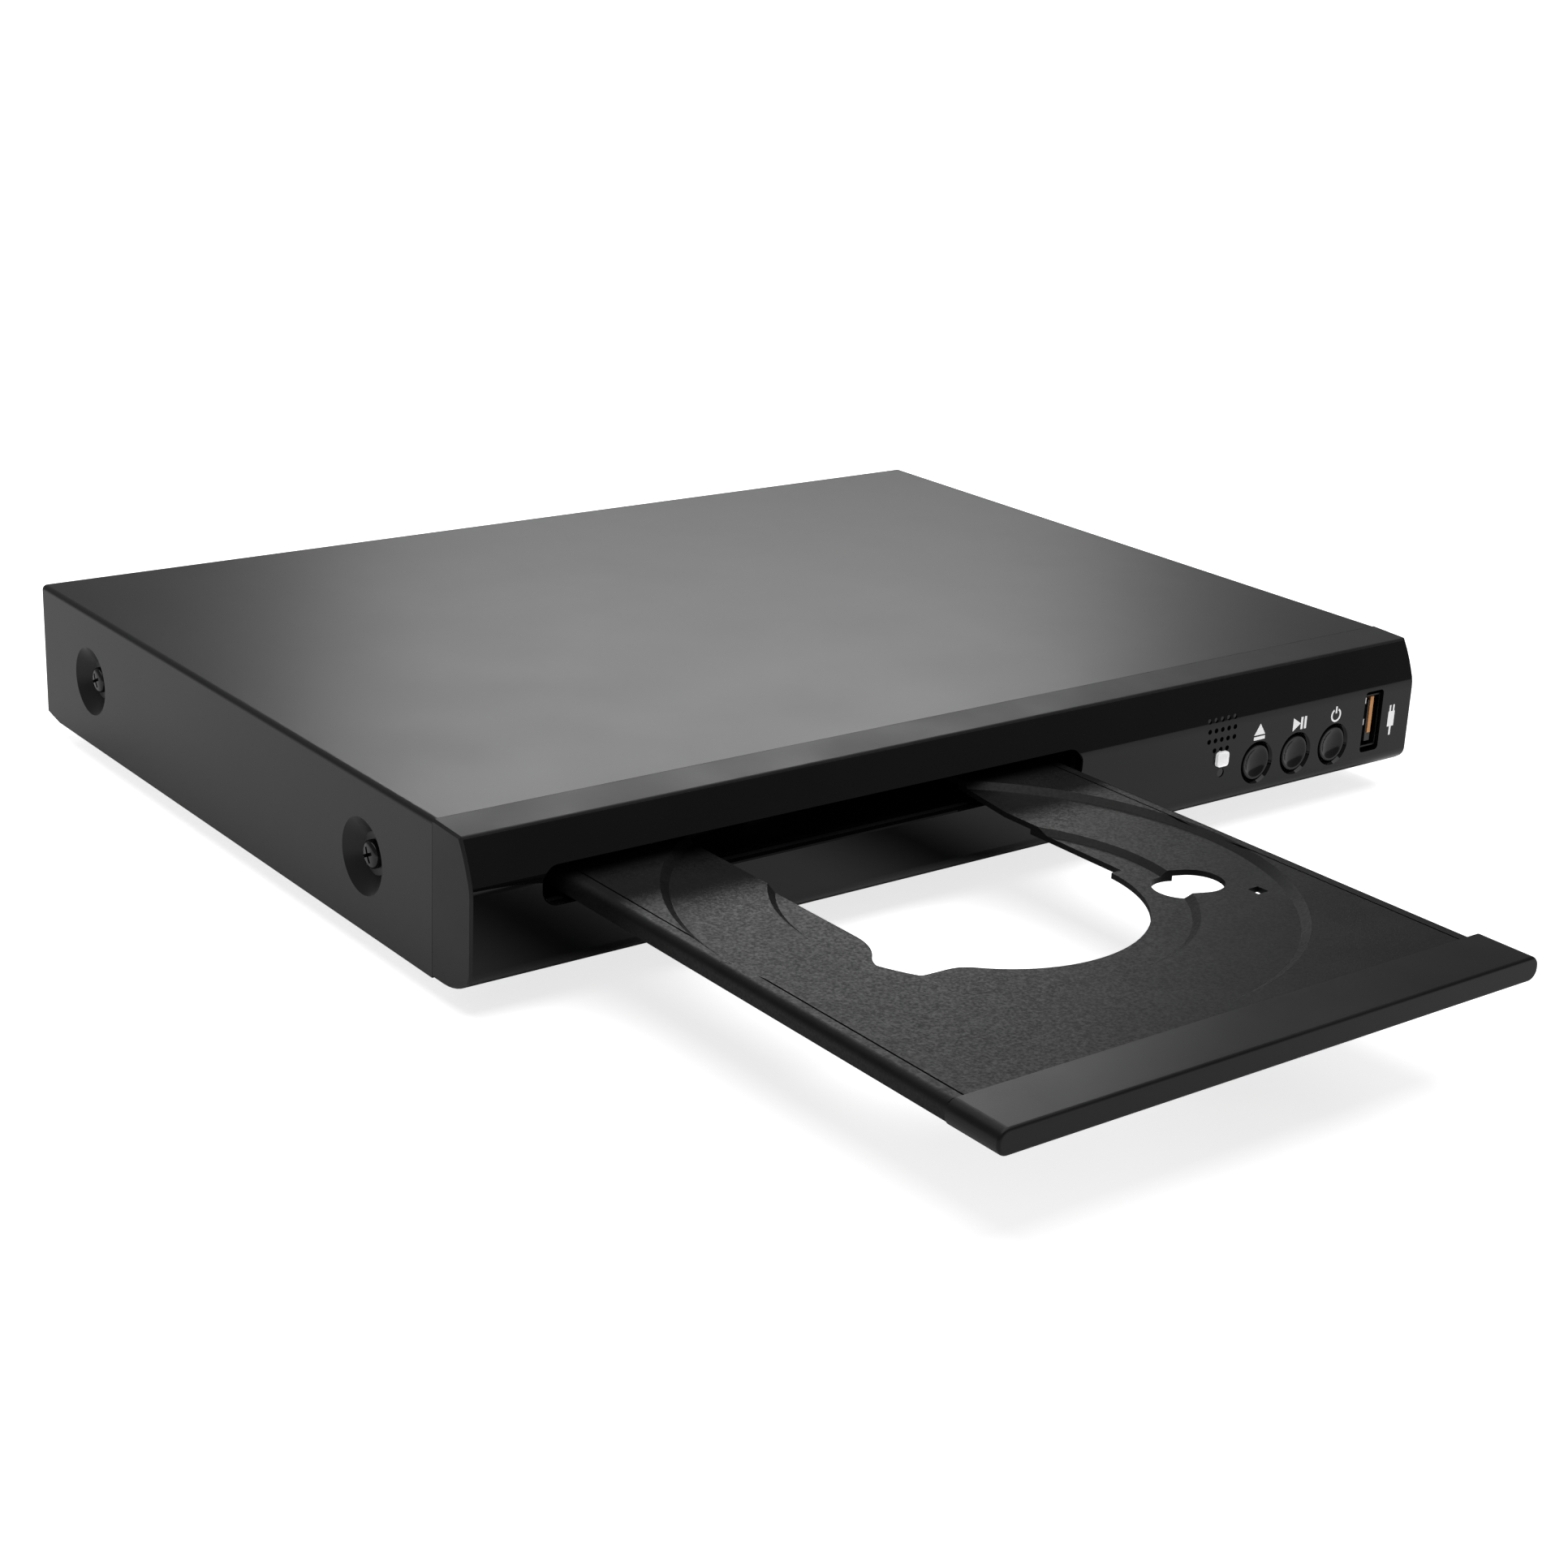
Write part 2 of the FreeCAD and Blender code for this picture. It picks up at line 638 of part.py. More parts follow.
def band(points, radius, thickness, push):
    """A flat ribbon: a line of points in one plane, its corners rounded, pushed along a vector."""
    normal = V(push)
    normal.normalize()

    def side(offset):
        corners = []
        for i, point in enumerate(points):
            before = (point - points[i - 1]).normalize() if i > 0 else None
            after = (points[i + 1] - point).normalize() if i + 1 < len(points) else None
            if before is None:
                corners.append((point + normal.cross(after) * offset, 0, None, after))
                continue
            if after is None:
                corners.append((point + normal.cross(before) * offset, 0, before, None))
                continue
            bisector = (normal.cross(before) + normal.cross(after)).normalize()
            half_turn = math.acos(max(-1.0, min(1.0, before.dot(after)))) / 2
            turn_sign = 1 if before.cross(after).dot(normal) > 0 else -1
            shifted = point + bisector * (offset / math.cos(half_turn))
            corners.append((shifted, radius - turn_sign * offset, before, after))
        edges = []
        last = corners[0][0]
        for shifted, bend, before, after in corners[1:-1]:
            half_turn = math.acos(before.dot(after)) / 2
            reach = bend * math.tan(half_turn)
            start = shifted - before * reach
            end = shifted + after * reach
            centre_way = (after - before).normalize()
            middle = shifted + centre_way * (bend / math.cos(half_turn) - bend)
            edges.append(line(last, start))
            edges.append(Part.Arc(start, middle, end).toShape())
            last = end
        edges.append(line(last, corners[-1][0]))
        return edges, corners[0][0], corners[-1][0]

    upper, upper_start, upper_end = side(thickness / 2)
    lower, lower_start, lower_end = side(-thickness / 2)
    loop = upper + [line(upper_end, lower_end)] + lower + [line(lower_start, upper_start)]
    return Part.Face(Part.Wire(Part.__sortEdges__(loop))).extrude(push)


def cable(points, radius):
    """A round cable along points, each corner an arc that takes a share of its shorter run."""
    edges = []
    last = points[0]
    for i in range(1, len(points) - 1):
        before = points[i] - points[i - 1]
        after = points[i + 1] - points[i]
        reach = CABLE_BEND_SHARE * min(before.Length, after.Length)
        before.normalize()
        after.normalize()
        half_turn = before.getAngle(after) / 2
        bend = reach / math.tan(half_turn)
        start = points[i] - before * reach
        end = points[i] + after * reach
        middle = points[i] + (after - before).normalize() * (bend / math.cos(half_turn) - bend)
        edges.append(line(last, start))
        edges.append(Part.Arc(start, middle, end).toShape())
        last = end
    edges.append(line(last, points[-1]))
    start_way = (points[1] - points[0]).normalize()
    ring = Part.Wire(Part.makeCircle(radius, points[0], start_way))
    return Part.Wire(edges).makePipeShell([ring], True, False)


def involute(angle):
    return math.tan(angle) - angle


def gear(teeth, module, x, y, z0, z1, tooth_angle):
    """A spur gear with involute flanks, one tooth centred on tooth_angle in degrees."""
    pitch = module * teeth / 2
    base = pitch * math.cos(PRESSURE)
    tip = pitch + ADDENDUM * module
    root = pitch - DEDENDUM * module
    spread = math.pi / (2 * teeth) - BACKLASH / (2 * pitch) + involute(PRESSURE)
    start = max(base, root)
    flank = [start + (tip - start) * i / FLANK_STEPS for i in range(FLANK_STEPS + 1)]
    sides = [(radius, spread - involute(math.acos(base / radius))) for radius in flank]
    if root < base:
        sides.insert(0, (root, spread))
    points = []
    for tooth in range(teeth):
        centre = math.radians(tooth_angle) + 2 * math.pi * tooth / teeth
        for radius, half in sides:
            points.append(V(x + radius * math.cos(centre - half), y + radius * math.sin(centre - half), z0))
        for radius, half in reversed(sides):
            points.append(V(x + radius * math.cos(centre + half), y + radius * math.sin(centre + half), z0))
    return prism(points, V(0, 0, z1 - z0))


def dimple_places():
    ups = SILL_Z + DIMPLE_UP
    return [(JOINT_Y + DIMPLE_FRONT_BACK, ups), (JOINT_Y + DIMPLE_REAR_BACK, ups)]


def rear_screw_places():
    height = TOP_Z - REAR_FLANGE / 2 - SHEET
    return [(x, height) for x in (REAR_SCREW_INSET - HALF, HALF - REAR_SCREW_INSET)]


def loader_screw_places():
    reach = FLANGE_WIDTH / 2 + RAIL_WALL
    inset = STANDOFF_RADIUS + STANDOFF_SETBACK
    ys = (RAIL_FRONT_Y + inset, RAIL_REAR_Y - inset)
    return [(x, y) for x in (RAIL_LEFT - reach, RAIL_RIGHT + reach) for y in ys]


def bridge_screw_places():
    reach = FLANGE_WIDTH / 2 + RAIL_WALL
    return [(x, SPINDLE_Y) for x in (RAIL_LEFT - reach, RAIL_RIGHT + reach)]


def board_screw_places(x0, x1, y0, y1):
    inset = BOARD_SCREW_INSET
    return [(x, y) for x in (x0 + inset, x1 - inset) for y in (y0 + inset, y1 - BOARD_SCREW_REAR_INSET)]


def main_screw_places():
    return board_screw_places(MAIN_X0, MAIN_X1, MAIN_Y0, BOARD_REAR_Y)


def power_screw_places():
    return board_screw_places(POWER_X0, POWER_X1, POWER_Y0, BOARD_REAR_Y)


def front_screw_places():
    x1 = HALF - FRONT_BOARD_END
    x0 = x1 - FRONT_BOARD_WIDTH
    z0 = SILL_Z + FRONT_BOARD_UP
    z1 = z0 + FRONT_BOARD_HEIGHT
    inset = SCREW_HEAD_RADIUS
    return [(x, z) for x in (x0 + inset, x1 - inset) for z in (z0 + inset, z1 - inset)]


def foot_places():
    xs = (FOOT_SIDE_INSET - HALF, HALF - FOOT_SIDE_INSET)
    ys = (FRONT_Y + FOOT_END_INSET, REAR_Y - FOOT_END_INSET)
    return [(x, y) for x in xs for y in ys]


def jack_places():
    return [MAIN_X0 + JACK_INSET - JACK_PITCH + JACK_PITCH * i for i in range(JACK_COUNT)]


def jack_height():
    return BOARD_TOP_Z + JACK_BLOCK_HEIGHT / 2


def button_places():
    right = HALF - BUTTON_INSET
    names = ("eject", "play", "power")
    return [(name, right - BUTTON_PITCH * (2 - i)) for i, name in enumerate(names)]


def inlet_place():
    return (POWER_X0 + POWER_X1) / 2


def top_cover():
    inner = HALF - SHEET
    outer = box(-HALF, HALF, JOINT_Y + SHEET_GAP, REAR_Y, SILL_Z, TOP_Z)
    outer = rounded(outer, Y_AXIS, FOLD_RADIUS, lambda p: p.z > TOP_Z - SHEET)
    hollow = box(-inner, inner, JOINT_Y, PANEL_Y, SILL_Z - 1, TOP_Z - SHEET)
    hollow = rounded(hollow, Y_AXIS, FOLD_RADIUS - SHEET, lambda p: p.z > SILL_Z)
    below = box(-inner, inner, PANEL_Y - 1, REAR_Y + 1, SILL_Z - 1, TOP_Z - REAR_FLANGE)
    shell = trim(outer, hollow, below)
    dishes = []
    voids = []
    for y, z in dimple_places():
        for side in (-1, 1):
            way = V(-side, 0, 0)
            face = V(side * HALF, y, z)
            rim = DIMPLE_RADIUS + SHEET
            floor = DIMPLE_FLOOR_RADIUS + SHEET
            dishes.append(Part.makeCone(rim, floor, DIMPLE_DEPTH + SHEET, face, way))
            voids.append(Part.makeCone(DIMPLE_RADIUS, DIMPLE_FLOOR_RADIUS, DIMPLE_DEPTH, face, way))
            voids.append(Part.makeCylinder(SCREW_RADIUS + HOLE_GAP, DIMPLE_DEPTH + SHEET, face, way))
    for x, z in rear_screw_places():
        voids.append(rod_y(SCREW_RADIUS + HOLE_GAP, x, z, PANEL_Y - 1, REAR_Y + 1))
    notch = [V(-HALF, REAR_Y, SILL_Z - 1), V(-HALF, REAR_Y, SILL_Z + NOTCH_HEIGHT),
             V(-HALF, REAR_Y - NOTCH_LENGTH, SILL_Z), V(-HALF, REAR_Y - NOTCH_LENGTH, SILL_Z - 1)]
    voids.append(prism(notch, V(BODY_WIDTH, 0, 0)))
    return join(shell, *dishes).cut(voids)


def chassis_base():
    edge = HALF - SHEET - SHEET_GAP
    front = JOINT_Y + 2 * SHEET_GAP
    lip_z = SILL_Z + PAN_LIP_HEIGHT
    sheet = CHASSIS_SHEET
    panel = box(-edge, edge, PANEL_Y - sheet, PANEL_Y, SILL_Z, TOP_Z - SHEET - SHEET_GAP)
    panel = rounded(panel, Y_AXIS, FOLD_RADIUS, lambda p: p.z > TOP_Z - 2 * SHEET)
    pieces = [box(-edge, edge, front, front + sheet, SILL_Z, lip_z), panel]
    holes = []
    for side in (-1, 1):
        lip = box(edge - sheet, edge, front, PANEL_Y, SILL_Z, lip_z)
        pieces.append(lip if side > 0 else mirrored(lip))
    for y, z in dimple_places():
        ear = box(EAR_X - sheet, EAR_X, y - EAR_HALF_WIDTH, y + EAR_HALF_WIDTH, lip_z - sheet,
                  SILL_Z + EAR_HEIGHT)
        step = box(EAR_X - sheet, edge, y - EAR_HALF_WIDTH, y + EAR_HALF_WIDTH, lip_z - sheet, lip_z)
        hole = rod_x(SCREW_RADIUS, y, z, EAR_X - 2 * sheet, EAR_X + sheet)
        pieces += [ear, step, mirrored(ear), mirrored(step)]
        holes += [hole, mirrored(hole)]
    for x, y in loader_screw_places():
        pieces.append(post(STANDOFF_RADIUS, x, y, SILL_Z, LOADER_SEAT_Z))
        holes.append(post(SCREW_RADIUS, x, y, SILL_Z - 1, LOADER_SEAT_Z + 1))
    for x, y in main_screw_places() + power_screw_places():
        pieces.append(post(SCREW_HEAD_RADIUS, x, y, SILL_Z, BOARD_Z))
        holes.append(post(SCREW_RADIUS, x, y, SILL_Z - 1, BOARD_Z + 1))
    for x, y in foot_places():
        holes.append(post(FOOT_RADIUS / 4, x, y, SILL_Z - 1, FLOOR_Z + 1))
    for x, z in rear_screw_places():
        holes.append(rod_y(SCREW_RADIUS, x, z, PANEL_Y - 2 * sheet, PANEL_Y + 1))
    pan = join(box(-edge, edge, front, PANEL_Y, SILL_Z, FLOOR_Z), *pieces)
    return pan.cut(holes + panel_holes() + panel_vents())


def panel_holes():
    inside = PANEL_Y - 2 * CHASSIS_SHEET
    outside = PANEL_Y + 1
    hdmi_x = MAIN_X0 + HDMI_INSET
    half = HDMI_WIDTH / 2 + HOLE_GAP
    holes = [box(hdmi_x - half, hdmi_x + half, inside, outside, BOARD_TOP_Z - HOLE_GAP,
                 BOARD_TOP_Z + HDMI_HEIGHT + HOLE_GAP)]
    for x in jack_places():
        holes.append(rod_y(JACK_RADIUS + HOLE_GAP, x, jack_height(), inside, outside))
    half = INLET_WIDTH / 2 + HOLE_GAP
    x = inlet_place()
    holes.append(box(x - half, x + half, inside, outside, BOARD_TOP_Z - HOLE_GAP,
                     BOARD_TOP_Z + INLET_HEIGHT + HOLE_GAP))
    return holes


def panel_vents():
    vents = []
    for i in range(VENT_COUNT):
        x = VENT_INSET - HALF + VENT_PITCH * i
        slot = box(x, x + VENT_WIDTH, PANEL_Y - 2 * CHASSIS_SHEET, PANEL_Y + 1,
                   SILL_Z + VENT_UP, SILL_Z + VENT_UP + VENT_HEIGHT)
        vents.append(rounded(slot, Y_AXIS, VENT_WIDTH / 2 - HOLE_GAP))
    return vents


def feet():
    pads = []
    for x, y in foot_places():
        pad = post(FOOT_RADIUS, x, y, 0, SILL_Z)
        stem = post(FOOT_RADIUS / 4 - HOLE_GAP, x, y, 0, FLOOR_Z + CHASSIS_SHEET)
        pads.append(join(pad, stem))
    return Part.makeCompound(pads)


def cover_screws():
    screws = []
    for y, z in dimple_places():
        for side in (-1, 1):
            seat = V(side * (HALF - DIMPLE_DEPTH), y, z)
            screws.append(pan_screw(seat, V(-side, 0, 0), COVER_SCREW_LENGTH))
    for x, z in rear_screw_places():
        screws.append(pan_screw(V(x, REAR_Y, z), V(0, -1, 0), COVER_SCREW_LENGTH))
    return Part.makeCompound(screws)


def front_outline(x):
    """The bezel's side outline at one x: strip, brow, face and chin."""
    crease_z = SLOT_TOP_Z + CREASE_OVER_SLOT
    strip = V(x, JOINT_Y - STRIP_DEPTH, TOP_Z - STRIP_DROP)
    crease = V(x, FRONT_Y + CREASE_SETBACK, crease_z)
    face_top = V(x, FRONT_Y, crease_z - FACE_UNDER_CREASE)
    face_foot = V(x, FRONT_Y, SILL_Z + CHIN_CORNER_UP)
    chin = V(x, FRONT_Y + CHIN_SETBACK, SILL_Z + CHIN_EDGE_UP)
    return strip, crease, face_top, face_foot, chin


def along(place):
    """A test for points on the line along X through a place."""
    return lambda p: p.distanceToPoint(V(p.x, place.y, place.z)) < SHEET_GAP


def bezel_blank():
    strip, crease, face_top, face_foot, chin = front_outline(-HALF)
    back_foot = V(-HALF, JOINT_Y, SILL_Z)
    back_top = V(-HALF, JOINT_Y, TOP_Z)
    chin_foot = V(-HALF, JOINT_Y - CHIN_FOOT, SILL_Z)
    edges = [line(back_foot, back_top), line(back_top, strip), bow(strip, crease, STRIP_BULGE),
             bow(crease, face_top, BROW_BULGE), line(face_top, face_foot), bow(face_foot, chin, CHIN_BULGE),
             bow(chin, chin_foot, CHIN_FOOT_BULGE), line(chin_foot, back_foot)]
    blank = Part.Face(Part.Wire(edges)).extrude(V(BODY_WIDTH, 0, 0))
    blank = rounded(blank, X_AXIS, STRIP_EDGE_RADIUS, along(strip))
    rims = [e for e in blank.Edges if e.BoundBox.XLength < SHEET_GAP and e.CenterOfMass.z > chin.z
            and e.CenterOfMass.y < JOINT_Y - SHEET_GAP]
    return blank.makeChamfer(BEZEL_END_BEVEL, rims)


def lens_blank():
    left = LENS_SIDE_INSET - HALF
    strip, crease, face_top, face_foot, chin = front_outline(left)
    back = V(0, LENS_THICKNESS, 0)
    under = V(0, LENS_TOP_RETURN, -LENS_TOP_RETURN)
    outside = [bow(strip, crease, STRIP_BULGE), bow(crease, face_top, BROW_BULGE),
               line(face_top, face_foot), bow(face_foot, chin, CHIN_BULGE)]
    inside = [bow(face_foot + back, chin + back, CHIN_BULGE), line(face_foot + back, face_top + back),
              bow(crease + back, face_top + back, BROW_BULGE),
              bow(strip + under, crease + back, STRIP_BULGE)]
    edges = outside + inside + [line(chin, chin + back), line(strip + under, strip)]
    width = BODY_WIDTH - 2 * LENS_SIDE_INSET
    blank = Part.Face(Part.Wire(Part.__sortEdges__(edges))).extrude(V(width, 0, 0))
    return rounded(blank, X_AXIS, STRIP_EDGE_RADIUS, along(strip))


def slot_cutter():
    slot = box(SLOT_X0, SLOT_X1, FRONT_Y - 1, JOINT_Y + 1, SLOT_FOOT_Z, SLOT_TOP_Z)
    return rounded(slot, Y_AXIS, SLOT_CORNER)


def slot_mouth():
    """The bevel round the slot's front edge."""
    def ring(grow, y):
        slab = box(SLOT_X0 - grow, SLOT_X1 + grow, y, y + 1, SLOT_FOOT_Z - grow, SLOT_TOP_Z + grow)
        slab = rounded(slab, Y_AXIS, SLOT_CORNER + grow)
        return min(slab.Faces, key=lambda face: face.CenterOfMass.y).OuterWire
    wide = ring(2 * SLOT_BEVEL, FRONT_Y - SLOT_BEVEL)
    return Part.makeLoft([wide, ring(0, FRONT_Y + SLOT_BEVEL)], True, True)


def usb_cutter():
    half_width = USB_OPENING_WIDTH / 2
    half_height = USB_OPENING_HEIGHT / 2
    cutter = box(USB_X - half_width, USB_X + half_width, FRONT_Y - 1, WALL_BACK_Y + 1,
                 USB_Z - half_height, USB_Z + half_height)
    return rounded(cutter, Y_AXIS, USB_OPENING_CORNER)


def front_lens():
    cutters = [slot_cutter(), slot_mouth(), usb_cutter(),
               rod_y(LED_HOLE_RADIUS, LED_X, LED_Z, FRONT_Y - 1, LENS_BACK_Y + 1)]
    for _, x in button_places():
        cutters.append(rod_y(BUTTON_RADIUS + BUTTON_GAP, x, BUTTON_Z, FRONT_Y - 1, LENS_BACK_Y + 1))
        ring = Part.makeCone(BUTTON_RING_RADIUS, BUTTON_RADIUS + BUTTON_GAP, BUTTON_RING_DEPTH,
                             V(x, FRONT_Y, BUTTON_Z), Y_AXIS)
        cutters.append(ring)
    for row in range(DOT_ROWS):
        for column in range(DOT_COLUMNS):
            x = DOT_X - DOT_PITCH * column
            z = DOT_Z + DOT_ROW_PITCH * row
            cutters.append(rod_y(DOT_RADIUS, x, z, FRONT_Y - 1, FRONT_Y + DOT_DEPTH))
    for column in range(DOT_FOOT_COLUMNS):
        x = DOT_X - DOT_PITCH * (column + 1)
        cutters.append(rod_y(DOT_RADIUS, x, DOT_Z - DOT_ROW_PITCH, FRONT_Y - 1, FRONT_Y + DOT_DEPTH))
    return lens_blank().cut(cutters)


def front_bezel():
    skin = BEZEL_SKIN
    strip, crease, face_top, face_foot, _ = front_outline(skin - HALF)
    wall = V(0, WALL_BACK_Y - FRONT_Y, 0)
    left = skin - HALF
    outline = [V(left, JOINT_Y + 1, SILL_Z + skin), V(left, JOINT_Y + 1, TOP_Z - skin),
               V(left, strip.y + wall.y, TOP_Z - skin), crease + wall, face_top + wall, face_foot + wall,
               V(left, JOINT_Y - CHIN_FOOT, SILL_Z + skin)]
    cavity = prism(outline, V(BODY_WIDTH - 2 * skin, 0, 0))
    shell = bezel_blank().cut([cavity, lens_blank()])
    lip_z = TOP_Z - SHEET - SHEET_GAP
    inner = HALF - 2 * STANDOFF_RADIUS
    adds = [box(-inner, inner, JOINT_Y - skin, JOINT_Y + LIP_LENGTH, lip_z - BEZEL_WALL, lip_z)]
    holes = [slot_cutter(), usb_cutter(), rod_y(LED_HOLE_RADIUS, LED_X, LED_Z, FRONT_Y - 1, WALL_BACK_Y + 1)]
    for x, z in front_screw_places():
        adds.append(rod_y(SCREW_HEAD_RADIUS, x, z, WALL_BACK_Y, FRONT_BOARD_Y))
        holes.append(rod_y(SCREW_RADIUS, x, z, WALL_BACK_Y, FRONT_BOARD_Y + 1))
    for _, x in button_places():
        holes.append(rod_y(BUTTON_RADIUS + BUTTON_GAP, x, BUTTON_Z, FRONT_Y - 1, WALL_BACK_Y + 1))
    return join(shell, *adds).cut(holes + [lens_blank()])


def button(x):
    flange_y = WALL_BACK_Y + HOLE_GAP
    stem_y = WALL_BACK_Y + BUTTON_FLANGE_THICKNESS
    cap = rod_y(BUTTON_RADIUS, x, BUTTON_Z, FRONT_Y + BUTTON_RECESS, stem_y)
    rims = [e for e in cap.Edges if e.CenterOfMass.y < FRONT_Y + 2 * BUTTON_RECESS and len(e.Vertexes) == 1]
    cap = cap.makeFillet(BUTTON_EDGE, rims)
    flange = rod_y(BUTTON_RADIUS + BUTTON_FLANGE, x, BUTTON_Z, flange_y, stem_y)
    stem = rod_y(BUTTON_STEM_RADIUS, x, BUTTON_Z, FRONT_Y + BUTTON_SKIN, stem_y + BUTTON_STEM_LENGTH)
    return join(cap, flange, stem)


def plunger(x):
    start = SWITCH_Y - PLUNGER_LENGTH
    return rod_y(PLUNGER_RADIUS, x, BUTTON_Z, start, SWITCH_Y + PLUNGER_SEAT)


def tact_switches():
    half = SWITCH_SIZE / 2
    switches = []
    for _, x in button_places():
        body = box(x - half, x + half, SWITCH_Y, FRONT_BOARD_Y, BUTTON_Z - half, BUTTON_Z + half)
        bore = rod_y(PLUNGER_RADIUS + BUTTON_GAP, x, BUTTON_Z, SWITCH_Y - 1,
                     SWITCH_Y + PLUNGER_SEAT + BUTTON_TRAVEL + BUTTON_GAP)
        switches.append(trim(body, bore))
    return Part.makeCompound(switches)


def front_board():
    x1 = HALF - FRONT_BOARD_END
    x0 = x1 - FRONT_BOARD_WIDTH
    z0 = SILL_Z + FRONT_BOARD_UP
    back = FRONT_BOARD_Y + BOARD
    board = box(x0, x1, FRONT_BOARD_Y, back, z0, z0 + FRONT_BOARD_HEIGHT)
    holes = [rod_y(SCREW_RADIUS + HOLE_GAP, x, z, FRONT_BOARD_Y - 1, back + 1)
             for x, z in front_screw_places()]
    half_width = USB_SHELL_WIDTH / 2 + HOLE_GAP
    half_height = USB_SHELL_HEIGHT / 2 + HOLE_GAP
    holes.append(box(USB_X - half_width, USB_X + half_width, FRONT_BOARD_Y - 1, back + 1,
                     USB_Z - half_height, USB_Z + half_height))
    header = box(FRONT_CABLE_X, FRONT_CABLE_X + CABLE_WIDTH + 2 * HEADER_WALL, back, back + HEADER_LENGTH,
                 FRONT_CABLE_Z - HEADER_HEIGHT / 2, FRONT_CABLE_Z + HEADER_HEIGHT / 2)
    return Part.makeCompound([board.cut(holes), header])


def ir_receiver():
    x = DOT_X - DOT_PITCH * (DOT_COLUMNS - 1) / 2
    z = DOT_Z + DOT_ROW_PITCH
    start = FRONT_BOARD_Y - IR_DEPTH
    body = box(x - IR_WIDTH / 2, x + IR_WIDTH / 2, start, FRONT_BOARD_Y,
               z - IR_HEIGHT / 2, z + IR_HEIGHT / 2)
    dome = rod_y(IR_DOME_RADIUS, x, z, start - IR_DOME_DEPTH, start)
    return join(body, dome)


def power_led():
    body = rod_y(LED_RADIUS, LED_X, LED_Z, WALL_BACK_Y + PLASTIC_GAP, FRONT_BOARD_Y)
    guide = rod_y(LED_HOLE_RADIUS - HOLE_GAP, LED_X, LED_Z, FRONT_Y + BUTTON_RECESS, FRONT_BOARD_Y)
    return join(body, guide)


def usb_box(grow, y0, y1):
    half_width = USB_SHELL_WIDTH / 2 + grow
    half_height = USB_SHELL_HEIGHT / 2 + grow
    return box(USB_X - half_width, USB_X + half_width, y0, y1, USB_Z - half_height, USB_Z + half_height)


def usb_shell():
    start = FRONT_Y + USB_SETBACK
    end = start + USB_LENGTH
    return trim(usb_box(0, start, end), usb_box(-USB_SHELL_WALL, start - 1, end + 1))


def usb_tongue():
    end = FRONT_Y + USB_SETBACK + USB_LENGTH
    rear = end - USB_BLOCK
    block = usb_box(-USB_SHELL_WALL, rear, end)
    half = USB_SHELL_HEIGHT / 2 - USB_SHELL_WALL - USB_TONGUE_MARGIN
    tongue = box(USB_X - USB_TONGUE / 2, USB_X + USB_TONGUE / 2, rear - USB_TONGUE_LENGTH, rear,
                 USB_Z - half, USB_Z + half)
    return join(block, tongue)


def stadium(x, y, length, width, turn, z0, z1):
    """An oblong cutter with round ends, its long axis turned from +X."""
    half = (length - width) / 2
    body = join(box(x - half, x + half, y - width / 2, y + width / 2, z0, z1),
                post(width / 2, x - half, y, z0, z1), post(width / 2, x + half, y, z0, z1))
    return turned(body, x, y, turn)


def bent(start, end, bulge):
    """A level arc from start to end that stands off its chord by bulge, to its left."""
    aside = Z_AXIS.cross(end - start)
    aside.normalize()
    return Part.Arc(start, (start + end) * 0.5 + aside * bulge, end).toShape()


def tray_opening():
    """The big opening: a round front, a left lobe and two arms back to the rear bar."""
    z0 = TRAY_FOOT_Z - 1

    def at(x, back):
        return V(TRAY_X + x, DISC_Y + back, z0)
    rear = TRAY_REAR_LENGTH - REAR_BAR
    arm_end = at(-LEFT_ARM, -LEFT_ARM_FRONT)
    neck = at(-NECK_X, -NECK_FRONT)
    lobe_end = at(-LOBE_X, -LOBE_FRONT)
    ledge = at(-LEDGE_X, -LEDGE_FRONT)
    round_start = at(-OPENING_RADIUS * math.cos(LEDGE_END_ANGLE),
                     -OPENING_RADIUS * math.sin(LEDGE_END_ANGLE))
    round_x = math.sqrt(OPENING_RADIUS ** 2 - RIGHT_ARM_FRONT ** 2)
    round_end = at(round_x, -RIGHT_ARM_FRONT)
    edges = [bent(arm_end, neck, NECK_BULGE), bent(neck, lobe_end, -LOBE_BULGE), line(lobe_end, ledge),
             bent(ledge, round_start, LEDGE_BULGE),
             Part.Arc(round_start, at(0, -OPENING_RADIUS), round_end).toShape()]
    corners = [round_end, at(RIGHT_ARM, -RIGHT_ARM_FRONT), at(RIGHT_ARM, FLARE_BACK),
               at(RIGHT_ARM + RIGHT_FLARE, FLARE_BACK + FLARE_LENGTH), at(RIGHT_ARM + RIGHT_FLARE, rear),
               at(-LEFT_ARM, rear), arm_end]
    edges += [line(start, end) for start, end in zip(corners, corners[1:])]
    return Part.Face(Part.Wire(edges)).extrude(V(0, 0, TRAY_HEIGHT + 2))


